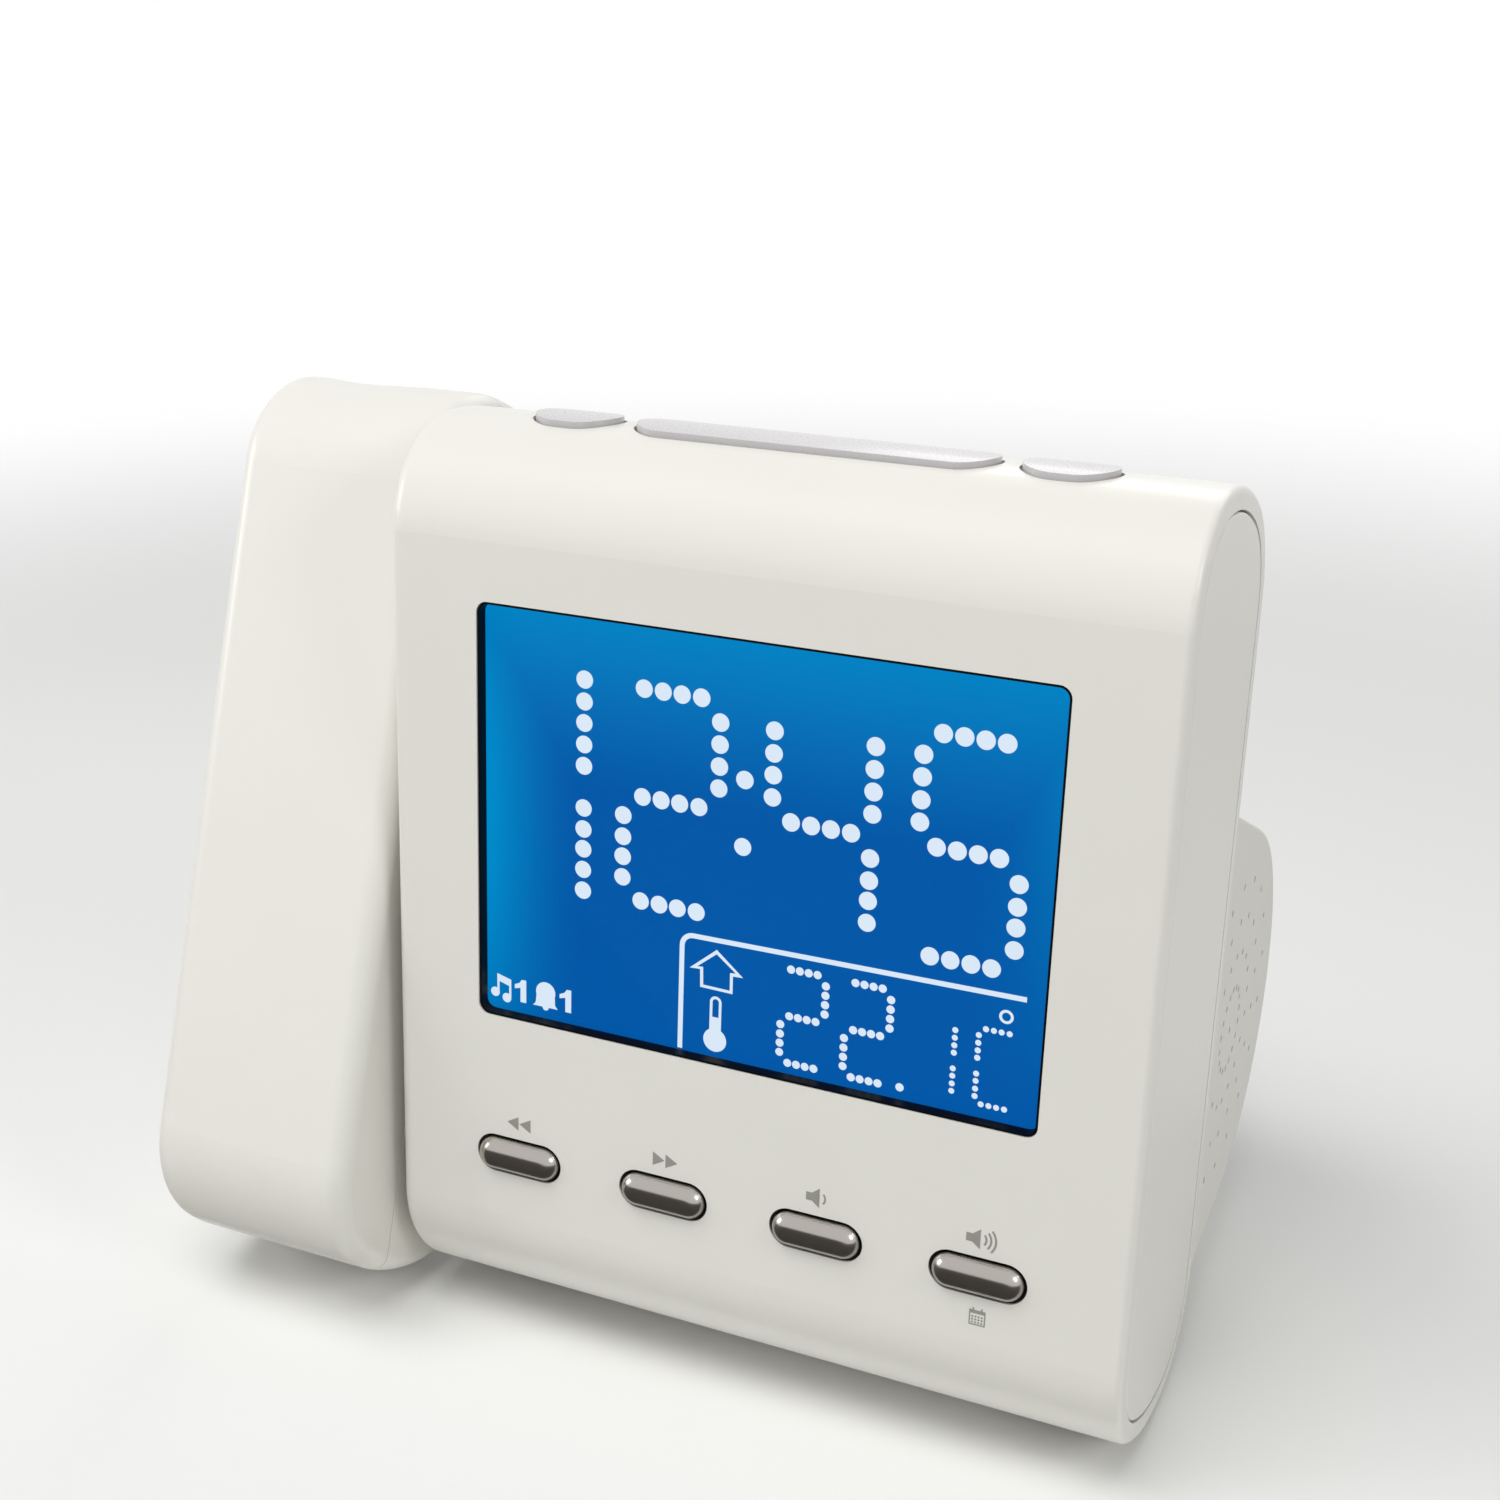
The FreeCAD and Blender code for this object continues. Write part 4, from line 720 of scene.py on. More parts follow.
@dataclass
class Plate:
    """Collects flat shapes that stand a little proud of a leaning face."""

    lean: LeaningFrame
    front: float
    back: float
    points: list[Vector] = field(default_factory=list)
    faces: list[tuple[int, ...]] = field(default_factory=list)

    def _loop(self, outline: Sequence[Point], depth: float) -> list[int]:
        """Add the corners of an outline at a depth.

        Args:
            outline: the corners.
            depth: their Y.

        Returns:
            The numbers of the new points.
        """
        first = len(self.points)
        self.points.extend(self.lean.place(x, depth, z) for x, z in outline)
        return list(range(first, first + len(outline)))

    def _wall(self, front: list[int], back: list[int]) -> None:
        """Join two loops with faces.

        Args:
            front: points of the front loop.
            back: points of the back loop.
        """
        for i, corner in enumerate(front):
            j = (i + 1) % len(front)
            self.faces.append((corner, back[i], back[j], front[j]))

    def add(self, outline: Sequence[Point]) -> "Plate":
        """Add one solid shape.

        Args:
            outline: its corners, in either direction.

        Returns:
            The plate itself.
        """
        points = self._turned(outline)
        front = self._loop(points, self.front)
        back = self._loop(points, self.back)
        self.faces.append(tuple(front))
        self.faces.append(tuple(back[::-1]))
        self._wall(front, back)
        return self

    def ring(self, outer: Sequence[Point], inner: Sequence[Point]) -> "Plate":
        """Add a shape with a hole that has as many corners as its outside.

        Args:
            outer: corners of the outside.
            inner: corners of the hole, in the same order.

        Returns:
            The plate itself.
        """
        outer, inner = self._turned(outer), self._turned(inner)
        loops = [self._loop(o, y) for y in (self.front, self.back) for o in (outer, inner)]
        outer_front, inner_front, outer_back, inner_back = loops
        for i in range(len(outer)):
            j = (i + 1) % len(outer)
            self.faces.append((outer_front[i], outer_front[j], inner_front[j], inner_front[i]))
            self.faces.append((outer_back[j], outer_back[i], inner_back[i], inner_back[j]))
        self._wall(outer_front, outer_back)
        self._wall(inner_back, inner_front)
        return self

    @staticmethod
    def _turned(outline: Sequence[Point]) -> list[Point]:
        """Put an outline in counter-clockwise order.

        Args:
            outline: its corners, in either direction.

        Returns:
            The corners.
        """
        points = list(outline)
        pairs = zip(points, points[1:] + points[:1])
        area = sum(a[0] * b[1] - b[0] * a[1] for a, b in pairs)
        return points if area > 0 else points[::-1]

    def piece(self, name: str, body: str, look: Look) -> bpy.types.Object:
        """Make the object.

        Args:
            name: name of the piece.
            body: CAD body that it rides on.
            look: its finish.

        Returns:
            The object.
        """
        mesh = bpy.data.meshes.new(name)
        mesh.from_pydata([tuple(p) for p in self.points], [], self.faces)
        mesh.update()
        mesh.materials.append(look.material())
        return ride(linked(name, mesh), body, look)


def linked(name: str, data: bpy.types.ID) -> bpy.types.Object:
    """Make an object and link it into the scene.

    Args:
        name: its name.
        data: its mesh, light or camera.

    Returns:
        The object.
    """
    made = bpy.data.objects.new(name, data)
    bpy.context.scene.collection.objects.link(made)
    return made


def ride(made: bpy.types.Object, body: str, look: Look) -> bpy.types.Object:
    """Let an object move with a body.

    Args:
        made: the object.
        body: CAD body that it rides on.
        look: its finish; not used.

    Returns:
        The object.
    """
    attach(made, body)
    LOG.info("%s: %d faces on %s", made.name, len(made.data.polygons), body)
    return made


class DotTree:
    """A node tree that puts a round plate on every point of a mesh."""

    NAME = "dots_on_points"

    @classmethod
    def tree(cls) -> bpy.types.NodeTree:
        """Give the tree, made on first use.

        Returns:
            The tree.
        """
        tree = bpy.data.node_groups.get(cls.NAME)
        if tree is None:
            tree = bpy.data.node_groups.new(cls.NAME, "GeometryNodeTree")
            cls.build(tree)
        return tree

    @staticmethod
    def build(tree: bpy.types.NodeTree) -> None:
        """Fill the tree.

        Args:
            tree: an empty geometry tree.
        """
        for name, kind in (
            ("Points", "Geometry"), ("Radius", "Float"), ("Depth", "Float"), ("Sides", "Int"),
            ("Turn", "Vector"), ("Uneven", "Float"), ("Seed", "Int"), ("Finish", "Material"),
        ):
            tree.interface.new_socket(name=name, in_out="INPUT", socket_type="NodeSocket" + kind)
        tree.interface.new_socket(name="Dots", in_out="OUTPUT", socket_type="NodeSocketGeometry")
        graph = Graph(tree)
        outs = graph.node("NodeGroupInput").outputs
        start = {socket.name: Port(graph, socket) for socket in outs if socket.name}
        sizes = {"Vertices": start["Sides"], "Radius": start["Radius"], "Depth": start["Depth"]}
        plate = graph.port("GeometryNodeMeshCylinder", sizes, "Mesh")
        limits = {2: 1.0 - start["Uneven"], 3: 1.0, "Seed": start["Seed"]}
        scale = graph.port("FunctionNodeRandomValue", limits, 1, data_type="FLOAT")
        turn = graph.port("FunctionNodeEulerToRotation", {0: start["Turn"]})
        spots = graph.port("GeometryNodeInstanceOnPoints", {
            "Points": start["Points"], "Instance": plate, "Rotation": turn, "Scale": scale,
        })
        real = graph.port("GeometryNodeRealizeInstances", {0: spots})
        dressed = {"Geometry": real, "Material": start["Finish"]}
        graph.node("NodeGroupOutput", {0: graph.port("GeometryNodeSetMaterial", dressed)})


@dataclass(frozen=True)
class Dots:
    """A set of equal round plates in a leaning plane."""

    radius: float
    depth: float
    sides: int
    uneven: float
    seed: int

    def piece(
        self, name: str, body: str, look: Look, lean: LeaningFrame, y: float,
        spots: Iterable[Point],
    ) -> bpy.types.Object:
        """Make the dots as one object.

        Args:
            name: name of the piece.
            body: CAD body that it rides on.
            look: its finish.
            lean: frame of the plane.
            y: Y of the middle of the plates.
            spots: centres of the dots.

        Returns:
            The object.
        """
        mesh = bpy.data.meshes.new(name + "_points")
        mesh.from_pydata([tuple(lean.place(x, y, z)) for x, z in spots], [], [])
        made = linked(name, mesh)
        tree = DotTree.tree()
        modifier = made.modifiers.new("dots", "NODES")
        modifier.node_group = tree
        values = {
            "Radius": self.radius * MM, "Depth": self.depth * MM, "Sides": self.sides,
            "Turn": lean.tilt, "Uneven": self.uneven, "Seed": self.seed, "Finish": look.material(),
        }
        for item in tree.interface.items_tree:
            if item.in_out == "INPUT" and item.name in values:
                modifier[item.identifier] = values[item.name]
        graph = bpy.context.evaluated_depsgraph_get()
        built = bpy.data.meshes.new_from_object(made.evaluated_get(graph), depsgraph=graph)
        made.modifiers.clear()
        made.data = built
        built.name = name
        return ride(made, body, look)


# ---------------------------------------------------------------- sub-assemblies
@dataclass
class Assembly:
    """What the classes of new pieces share: their sizes and the frame of the panel."""

    sizes: object
    lean: LeaningFrame


@dataclass(frozen=True)
class Segments:
    """Dots of one figure, as measured on the panel from the window's corner.

    Columns are named by how far right they stand and rows by how far up.
    """

    columns: dict[float, Sequence[float]]
    rows: dict[float, Sequence[float]] = field(default_factory=dict)

    def spots(self, shift: float = 0.0) -> list[Point]:
        """List the dots.

        Args:
            shift: move to the right.

        Returns:
            The centres.
        """
        out = [(x + shift, u) for x, us in self.columns.items() for u in us]
        out += [(x + shift, u) for u, xs in self.rows.items() for x in xs]
        return out


@dataclass(frozen=True)
class DisplaySizes:
    """Sizes of what the display shows."""

    glass_y: float = -21.6
    proud: float = 0.03
    eye_x: float = 172.5
    eye_u: float = 80.86
    eye_range: float = 283.87
    plane_gap: float = 2.4
    dot: Dots = Dots(1.5, 0.03, 28, 0.02, 7)
    small_dot: Dots = Dots(0.7, 0.03, 18, 0.03, 11)
    tiny_dot: Dots = Dots(0.5, 0.03, 14, 0.03, 13)
    line: float = 0.85


class DisplayMarks(Assembly):
    """Everything that the lit display shows: figures, icons and the frame line."""

    ONE = Segments({
        19.45: (-10.55, -14.14, -17.69, -21.26, -24.83, -31.95, -35.53, -38.92, -42.48, -46.09),
    })
    TWO = Segments(
        {43.17: (-13.98, -17.53, -21.1, -24.67), 26.6: (-31.92, -35.5, -38.9, -42.43)},
        {u: (29.95, 33.25, 36.5, 39.85) for u in (-10.5, -28.3, -45.95)},
    )
    COLON = Segments({47.54: (-22.56, -33.55)})
    FOUR = Segments(
        {
            52.25: (-13.9, -17.5, -21.0, -24.6),
            68.68: (-13.8, -17.4, -20.95, -24.5, -31.6, -35.2, -38.5, -42.1),
        },
        {-28.1: (55.5, 58.83, 62.1, 65.4)},
    )
    FIVE = Segments(
        {76.26: (-13.8, -17.3, -20.9, -24.4), 92.2: (-31.4, -35.0, -38.3, -41.9)},
        {u: (79.1, 82.38, 85.65, 88.92) for u in (-10.15, -27.9, -45.5)},
    )
    SMALL_TWO = Segments(
        {62.47: (-54.0, -55.6, -57.2, -58.8), 55.04: (-62.07, -63.7, -65.3, -66.9)},
        {u: (56.5, 58.0, 59.5, 61.0) for u in (-52.4, -60.4, -68.5)},
    )
    SMALL_POINT = Segments({75.51: (-68.33,)})
    TENTH = (-56.71, -57.99, -59.26, -60.5, -63.15, -64.38, -65.69, -66.94)
    TINY_ONE = Segments({83.91: TENTH})
    UNIT = Segments({87.67: TENTH}, {u: (88.73, 89.98, 91.2, 92.47) for u in (-55.5, -68.1)})
    SECOND_SMALL_SHIFT = 10.85

    def local(self, spots: Iterable[Point]) -> list[Point]:
        """Carry measured places from the panel's front back to the glass.

        Args:
            spots: places measured on the front plane from the window's corner.

        Returns:
            The places on the glass, in the panel frame.
        """
        s = self.sizes
        share = s.plane_gap / s.eye_range
        out = []
        for x, u in spots:
            on_glass = (x + (x - s.eye_x) * share, u + (u - s.eye_u) * share)
            out.append((on_glass[0] - CORNER_X, on_glass[1] + CORNER_Z))
        return out

    def build(self) -> None:
        """Make the marks."""
        s = self.sizes
        y = s.glass_y - s.proud / 2 - MARK_GAP
        main = self.ONE.spots() + self.TWO.spots() + self.COLON.spots()
        main += self.FOUR.spots() + self.FIVE.spots()
        small = self.SMALL_TWO.spots() + self.SMALL_TWO.spots(self.SECOND_SMALL_SHIFT)
        small += self.SMALL_POINT.spots()
        tiny = self.TINY_ONE.spots() + self.UNIT.spots()
        for name, dots, spots in (
            ("time_dots", s.dot, main), ("degree_dots", s.small_dot, small),
            ("tenth_dots", s.tiny_dot, tiny),
        ):
            dots.piece(name, "case", Look.DOT, self.lean, y, self.local(spots))
        self.frame_line()
        self.house()
        self.thermometer()
        self.alarm_icons()

    def plate(self) -> Plate:
        """Start a plate just in front of the glass."""
        s = self.sizes
        return Plate(self.lean, s.glass_y - s.proud - MARK_GAP, s.glass_y - MARK_GAP)

    def frame_line(self) -> None:
        """Make the line that parts the small field from the time."""
        bend = arc(-10.9, -0.45, 1.95, 180, 92, 8)
        path = [(-12.85, -18.67), *bend, (44.84, 2.2)]
        line = self.plate().add(stroke(path, self.sizes.line))
        line.piece("field_line", "case", Look.DOT)

    def house(self) -> None:
        """Make the house icon, without letters."""
        outer = [
            (-6.68, -0.1), (-11.4, -4.1), (-9.55, -4.0), (-9.45, -7.1),
            (-3.7, -7.2), (-3.72, -4.12), (-1.95, -4.02),
        ]
        inner = [
            (-6.68, -0.85), (-10.05, -3.62), (-9.02, -3.52), (-8.93, -6.62),
            (-4.2, -6.7), (-4.24, -3.62), (-3.2, -3.52),
        ]
        self.plate().ring(outer, inner).piece("house_icon", "case", Look.DOT)

    def thermometer(self) -> None:
        """Make the thermometer icon and the degree ring."""
        x, wall, half = -6.6, 0.8, 1.03
        bend = arc(x, -9.26, wall, 0, 180, 12)
        tube = [(x + wall, -12.1), *bend, (x - wall, -12.1)]
        plate = self.plate().add(stroke(tube, 0.46))
        plate.add([(x + half, -11.9), (x + half, -14.4), (x - half, -14.4), (x - half, -11.9)])
        plate.add(disc(x, -15.94, 2.05))
        (degree_x, degree_z), = self.local([(91.77, -52.81)])
        plate.ring(disc(degree_x, degree_z, 1.15), disc(degree_x, degree_z, 0.7))
        plate.piece("thermometer_icon", "case", Look.DOT)

    def alarm_icons(self) -> None:
        """Make the note, the bell and the two figures beside them."""
        plate = self.plate()
        note = [
            (-47.35, -12.6), (-44.65, -13.3), (-44.65, -16.6), (-45.05, -16.6), (-45.05, -14.5),
            (-46.95, -13.95), (-46.95, -15.9), (-47.35, -15.9),
        ]
        plate.add(note)
        plate.add(disc(-47.75, -16.05, 0.85, 20))
        plate.add(disc(-45.5, -16.75, 0.85, 20))
        bell = arc(-38.0, -14.2, 1.85, -20, 200, 14) + [
            (-39.9, -16.3), (-40.4, -16.9), (-38.7, -16.9), *arc(-38.0, -16.9, 0.6, 180, 360, 8),
            (-35.7, -16.9), (-36.2, -16.3),
        ]
        plate.add(bell)
        foot = -16.97
        for right in (-41.75, -33.13):
            plate.add([
                (right, foot), (right, foot + 4.1), (right - 0.85, foot + 4.1),
                (right - 1.3, foot + 3.45), (right - 2.2, foot + 3.05), (right - 2.2, foot + 2.3),
                (right - 1.1, foot + 2.6), (right - 1.1, foot),
            ])
        plate.piece("alarm_icons", "case", Look.DOT)


@dataclass(frozen=True)
class PrintSizes:
    """Sizes of the symbols printed on the panel."""

    face_y: float = -25.0
    proud: float = 0.03
    rise: float = 1.25
    arrow: float = 2.15
    speaker: float = 1.3


class PanelPrint(Assembly):
    """The grey symbols above and below the front buttons, with no words.

    Places are measured from the window's corner. The third number is the way of an
    arrow, or how many waves a loudspeaker has.
    """

    ARROWS = ((8.01, -90.68, -1), (35.78, -90.72, 1))
    LOUDSPEAKERS = ((63.18, -90.44, 1), (90.3, -90.5, 3))
    CALENDAR = (90.92, -104.45)

    def build(self) -> None:
        """Make the symbols."""
        s = self.sizes
        plate = Plate(self.lean, s.face_y - s.proud - PRINT_GAP, s.face_y - PRINT_GAP)
        for x, z, way in self.ARROWS:
            self.arrows(plate, x - CORNER_X, z + CORNER_Z, way)
        for x, z, waves in self.LOUDSPEAKERS:
            self.loudspeaker(plate, x - CORNER_X, z + CORNER_Z, waves)
        x, z = self.CALENDAR
        self.calendar(plate, x - CORNER_X, z + CORNER_Z)
        plate.piece("panel_symbols", "case", Look.MARK)

    def arrows(self, plate: Plate, x: float, z: float, way: int) -> None:
        """Add a double arrow.

        Args:
            plate: where it goes.
            x: centre.
            z: centre.
            way: -1 to the left, 1 to the right.
        """
        rise, reach = self.sizes.rise, self.sizes.arrow
        for start in (-reach - 0.1, 0.1):
            base = start if way > 0 else start + reach
            plate.add([(x + base, z + rise), (x + base, z - rise), (x + base + way * reach, z)])

    def loudspeaker(self, plate: Plate, x: float, z: float, waves: int) -> None:
        """Add a loudspeaker with sound waves.

        Args:
            plate: where it goes.
            x: centre.
            z: centre.
            waves: number of waves.
        """
        size = self.sizes.speaker
        left = x - 1.6 * size
        horn = ((0.0, 0.55), (0.0, -0.55), (0.8, -0.55), (1.8, -1.35), (1.8, 1.35), (0.8, 0.55))
        plate.add([(left + px * size, z + pz * size) for px, pz in horn])
        for i in range(waves):
            line = arc(left + 1.5 * size, z, (1.05 + 0.6 * i) * size, -40, 40, 8)
            plate.add(stroke(line, 0.25 * size))

    def calendar(self, plate: Plate, x: float, z: float) -> None:
        """Add a small calendar page.

        Args:
            plate: where it goes.
            x: centre.
            z: centre.
        """
        half, rim, step, dot = 1.35, 1.15, 0.52, 0.15
        page = box(x - half, x + half, z - half, z + half)
        plate.ring(page, box(x - rim, x + rim, z - rim, z + half - 0.6))
        for side in (x - 0.7, x + 0.7):
            plate.add(box(side - 0.13, side + 0.13, z + half + 0.03, z + half + 0.4))
        for row in range(3):
            for column in range(4):
                cx = x - 0.78 + column * step
                cz = z - 0.85 + row * step
                plate.add(box(cx - dot, cx + dot, cz - dot, cz + dot))


@dataclass(frozen=True)
class SlotShadeSizes:
    """Sizes of the dark rings of painted shade in the slots of the front buttons."""

    length: float = 16.3
    height: float = 7.0
    wall: float = 0.33
    bite: float = 0.02
    trim: float = 0.001
    pitch: float = 27.5
    level: float = -44.5
    front: float = -24.6
    back: float = -23.2


class SlotShadeRings(Assembly):
    """Thin dark rings in the gaps round the front buttons: painted shade that stands in for the
    shade in those gaps.
    """

    def build(self) -> None:
        """Make the rings of painted shade."""
        s = self.sizes
        plate = Plate(self.lean, s.front, s.back)
        for i in range(4):
            loops = []
            for inset in (-s.bite, s.wall):
                wide, high = s.length - 2 * inset, s.height - 2 * inset
                x = (i - 1.5) * s.pitch
                loops.append(rounded(wide, high, high / 2 - s.trim, x, s.level))
            plate.ring(*loops)
        # painted shade: near-black rings set just behind the face, in the gaps round the buttons
        plate.piece("painted_slot_shades", "case", Look.SLOT_SHADE)


@dataclass(frozen=True)
class RimSizes:
    """Sizes of the dark rim of the display."""

    width: float = 97.8
    height: float = 71.3
    corner: float = 2.0
    wall: float = 0.35
    front: float = -24.75
    back: float = -22.8


class DisplayRim(Assembly):
    """The thin dark rim round the display, in place of the plain lining."""

    def build(self) -> None:
        """Make the rim."""
        s = self.sizes
        outer = rounded(s.width, s.height, s.corner, 0.0, MIDDLE_Z)
        wide, high = s.width - 2 * s.wall, s.height - 2 * s.wall
        inner = rounded(wide, high, s.corner - s.wall, 0.0, MIDDLE_Z)
        plate = Plate(self.lean, s.front, s.back).ring(outer, inner)
        rim = plate.piece("display_rim", "case", Look.BEZEL)
        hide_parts("display_bezel")


@dataclass(frozen=True)
class GrilleSizes:
    """Places of the sound holes in the side of the speaker housing."""

    middle_y: float = 39.3
    middle_z: float = -23.5
    first: float = 7.5
    step: float = 6.43
    rings: int = 4
    count: int = 18
    front_edge: float = 28.4
    recess: float = 0.3
    # painted shade: dark discs set just inside the sound holes
    cloth: Dots = Dots(0.6, 1.2, 16, 0.001, 31)


class HoleShadeDiscs(Assembly):
    """Dark discs in the sound holes: painted shade that stands in for the shade inside the holes.
    """

    def build(self) -> None:
        """Make the discs of painted shade."""
        s = self.sizes
        spots = [(s.middle_y, s.middle_z)]
        for ring in range(s.rings):
            radius = s.first + ring * s.step
            for y, z in arc(s.middle_y, s.middle_z, radius, 90, 450, s.count)[:-1]:
                if y > s.front_edge:
                    spots.append((y, z))
        side = LeaningFrame(self.lean.origin, self.lean.angle, sideways=True)
        wall = (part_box("speaker_pod")[1][0] - side.origin[0]) / MM
        depth = wall - s.recess - s.cloth.depth / 2
        # painted shade: one dark disc inside each sound hole
        s.cloth.piece("painted_hole_shade", "case", Look.CLOTH, side, depth, spots)


@dataclass
class Casing:
    """Gives every CAD node its finish."""

    lean: LeaningFrame

    HALF_X = 49.0
    HALF_Z = 35.75
    LOOKS = {
        Look.CASE: ("front_housing", "right_end_cap", "left_end_cap"),
        Look.ARM: ("arm_front_shell", "arm_rear_shell"),
        Look.POD: ("speaker_pod", "rear_cover"),
        Look.TOP_KEY: ("top_button_left", "top_button_bar", "top_button_right"),
        Look.CHROME: tuple(f"front_button_{i}" for i in range(1, 5)),
        Look.GREY: (*(f"rear_button_{i}" for i in range(1, 5)), "battery_door", "focus_wheel"),
        Look.DARK: (
            "battery_holder", "dc_inlet", "lens_bracket", "focus_barrel", "light_tunnel",
            "pivot_hub", "front_switches", "top_switches", "rear_switches", "board_parts",
            "time_slide",
        ),
        Look.BEZEL: ("display_bezel",),
        Look.WHITE: ("light_guide", "lcd_tray"),
        Look.BOARD: (
            "main_board", "front_key_board", "rear_key_board", "top_key_board", "led_board",
        ),
        Look.STEEL: ("speaker_frame", "backup_cell", "pivot_clip", "cover_screws", "arm_screws"),
        Look.MAGNET: ("speaker_magnet",),
        Look.CONE: ("speaker_cone",),
        Look.RUBBER: ("front_feet", "rear_feet", "aerial_gland", "friction_washer"),
        Look.WINDOW: ("display_window",),
        Look.LENS: ("lens_outer", "lens_inner", "condenser"),
        Look.LAMP: ("lamp",),
    }

    def build(self) -> None:
        """Dress the nodes."""
        looks = {name: look.material() for look, names in self.LOOKS.items() for name in names}
        glass = Backlit(
            "display_glass", linear(0, 89, 169), linear(0, 142, 206), self.lean.origin,
            self.lean.angle, self.HALF_X, self.HALF_Z,
        )
        looks["lcd_panel"] = glass.material()
        for name, node in frame["nodes"].items():
            node.data.materials.clear()
            node.data.materials.append(looks[name])
            LOG.info("%s: %s", name, looks[name].name)


@dataclass(frozen=True)
class BoardSizes:
    """Places of the solder pads on the hidden boards."""

    pad: Dots = Dots(0.6, 0.08, 12, 0.2, 23)
    main_y: float = -9.0
    columns: int = 14
    rows: int = 9
    pitch: float = 6.4


class BoardPads(Assembly):
    """Solder pads on the face of the main board, seen when the case is opened."""

    def build(self) -> None:
        """Make the pads."""
        s = self.sizes
        spots = []
        for column in range(s.columns):
            for row in range(s.rows):
                if (column * 5 + row * 3) % 4:  # one place in four stays bare
                    x = (column - (s.columns - 1) / 2) * s.pitch
                    z = (row - (s.rows - 1) / 2) * s.pitch + MIDDLE_Z
                    spots.append((x, z))
        y = s.main_y - s.pad.depth / 2 - PRINT_GAP
        s.pad.piece("solder_pads", "case", Look.BRASS, self.lean, y, spots)


# ---------------------------------------------------------------- studio
@dataclass(frozen=True)
class Lamp:
    """A soft rectangular light that looks at the clock."""

    name: str
    place: tuple[float, float, float]
    size: tuple[float, float]
    power: float
    shines: bool = True

    def build(self, target: Vector) -> bpy.types.Object:
        """Make the light.

        Args:
            target: the point that it looks at.

        Returns:
            The light.
        """
        data = bpy.data.lights.new(self.name, "AREA")
        data.shape = "RECTANGLE"
        data.size, data.size_y = self.size
        data.energy = self.power
        made = linked(self.name, data)
        made.location = self.place
        made.rotation_euler = (target - Vector(self.place)).to_track_quat("-Z", "Y").to_euler()
        made.visible_glossy = self.shines
        return made


@dataclass(frozen=True)
class View:
    """The camera of the photograph, in metres."""

    place: tuple[float, float, float] = (0.14501, -0.31146, 0.23855)
    right: tuple[float, float, float] = (0.911517, 0.411263, 0.0)
    up: tuple[float, float, float] = (-0.151829, 0.336548, 0.929346)
    ahead: tuple[float, float, float] = (-0.382211, 0.847112, -0.369211)
    lens: float = 50.93
    sensor: float = 36.0


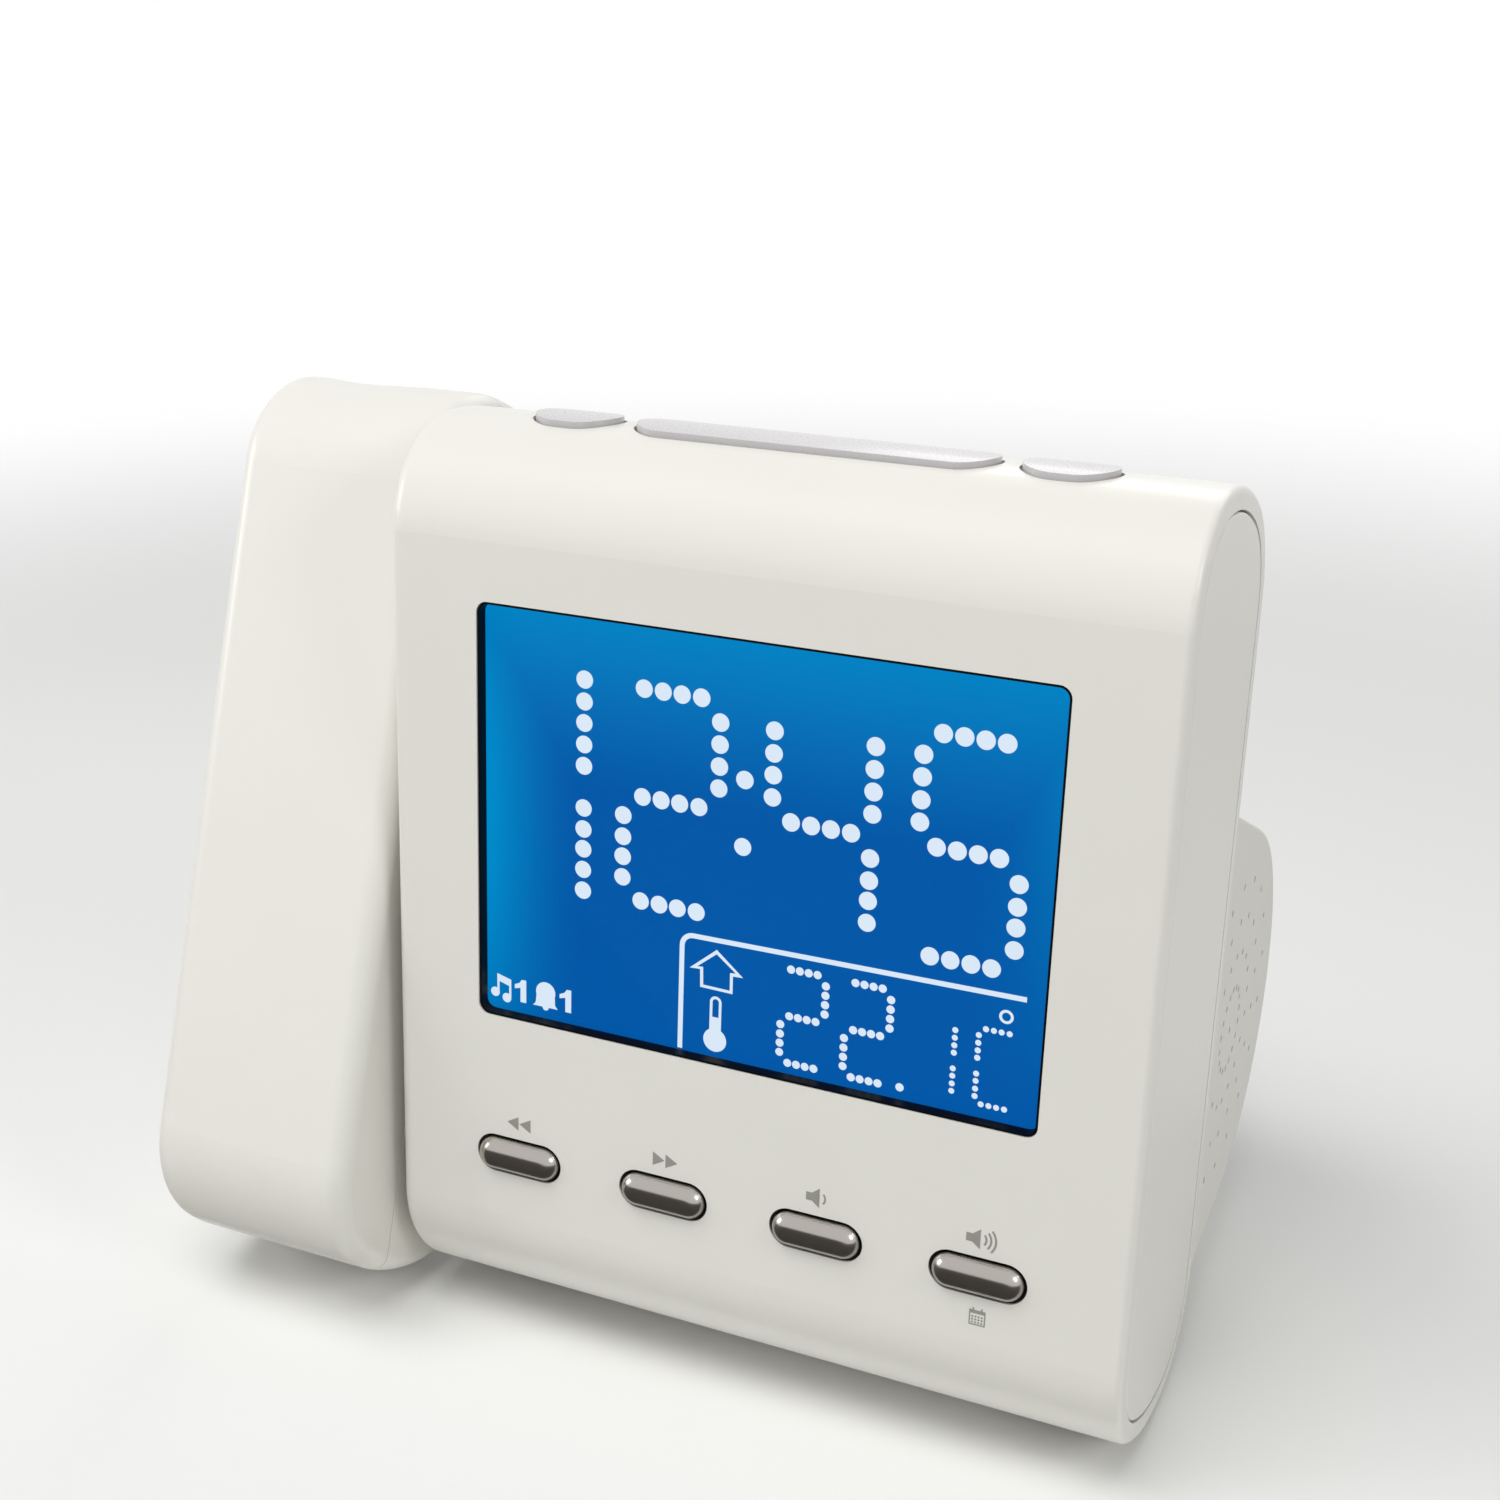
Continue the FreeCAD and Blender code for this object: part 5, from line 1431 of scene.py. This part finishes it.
@dataclass
class Studio:
    """Floor, lights, surroundings and camera."""

    view: View

    LAMPS = (
        Lamp("top", (-0.15, -0.4, 0.95), (0.9, 0.45), 6.6, shines=False),
        Lamp("front", (0.5, -0.95, 0.5), (0.6, 0.6), 1.3, shines=False),
        Lamp("left", (-0.9, -0.4, 0.4), (0.4, 0.4), 2.4),
        Lamp("right", (0.82, -0.3, 0.6), (0.3, 0.3), 1.9),
        Lamp("back", (0.1, 0.8, 0.6), (0.9, 0.5), 2.0),
    )
    TARGET = (0.0, 0.0, 0.07)
    FLOOR_HALF = 3.0
    SKY = {"Color": (0.96, 0.97, 1.0), "Strength": 0.22}
    WHITE = {"Color": (1.0, 1.0, 1.0), "Strength": 1.0}

    def build(self) -> None:
        """Make the studio."""
        made = [lamp.build(Vector(self.TARGET)) for lamp in self.LAMPS]
        made.append(self.floor())
        made.append(self.dark_card())
        made.append(self.camera())
        self.surroundings()
        bpy.context.scene.view_settings.view_transform = "Standard"

    @staticmethod
    def sheet(name: str, points: Sequence[tuple], finish: Finish) -> bpy.types.Object:
        """Make a flat sheet.

        Args:
            name: name of the sheet.
            points: its four corners.
            finish: its finish.

        Returns:
            The sheet.
        """
        mesh = bpy.data.meshes.new(name)
        mesh.from_pydata(points, [], [(0, 1, 2, 3)])
        mesh.materials.append(finish.material())
        return linked(name, mesh)

    def floor(self) -> bpy.types.Object:
        """Make the floor.

        Returns:
            The floor.
        """
        h = self.FLOOR_HALF
        paper = FadingFloor("floor_paper", linear(238, 238, 236))
        return self.sheet("floor", [(-h, -h, 0), (h, -h, 0), (h, h, 0), (-h, h, 0)], paper)

    def dark_card(self) -> bpy.types.Object:
        """Make a dark card that only reflections see, below and before the clock.

        Returns:
            The card.
        """
        side, near, far = 0.9, (-0.046, 0.0015), (-1.2, 0.1)
        points = [(-side, *near), (side, *near), (side, *far), (-side, *far)]
        black = Soft("card_black", (0.06, 0.055, 0.05), 0.9, 60.0)
        made = self.sheet("dark_card", points, black)
        made.visible_camera = False
        made.visible_diffuse = False
        made.visible_shadow = False
        made.visible_transmission = False
        return made

    def camera(self) -> bpy.types.Object:
        """Make the camera.

        Returns:
            The camera.
        """
        v = self.view
        data = bpy.data.cameras.new("camera")
        data.lens, data.sensor_width = v.lens, v.sensor
        made = linked("camera", data)
        back = -Vector(v.ahead)
        turn = Matrix((v.right, v.up, back)).transposed().to_4x4()
        made.matrix_world = Matrix.Translation(v.place) @ turn
        bpy.context.scene.camera = made
        return made

    def surroundings(self) -> None:
        """Make the world: white for the camera, a soft grey light for the rest."""
        world = bpy.data.worlds.new("studio")
        bpy.context.scene.world = world
        world.use_nodes = True
        graph = Graph(world.node_tree)
        rays = graph.node("ShaderNodeLightPath").outputs
        kinds = ("Is Camera Ray", "Is Glossy Ray", "Is Transmission Ray")
        camera, glossy, through = (Port(graph, rays[kind]) for kind in kinds)
        light = graph.port("ShaderNodeBackground", self.SKY)
        white = graph.port("ShaderNodeBackground", self.WHITE)
        shares = {0: (camera + glossy + through).clamped(), 1: light, 2: white}
        mix = graph.port("ShaderNodeMixShader", shares)
        graph.node("ShaderNodeOutputWorld", {"Surface": mix})


def main() -> None:
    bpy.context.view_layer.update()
    panel = LeaningFrame.read()
    Casing(panel).build()
    DisplayMarks(DisplaySizes(), panel).build()
    PanelPrint(PrintSizes(), panel).build()
    DisplayRim(RimSizes(), panel).build()
    SlotShadeRings(SlotShadeSizes(), panel).build()
    HoleShadeDiscs(GrilleSizes(), panel).build()
    BoardPads(BoardSizes(), panel).build()
    Studio(View()).build()
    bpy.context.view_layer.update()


if __name__ == "__main__":
    main()
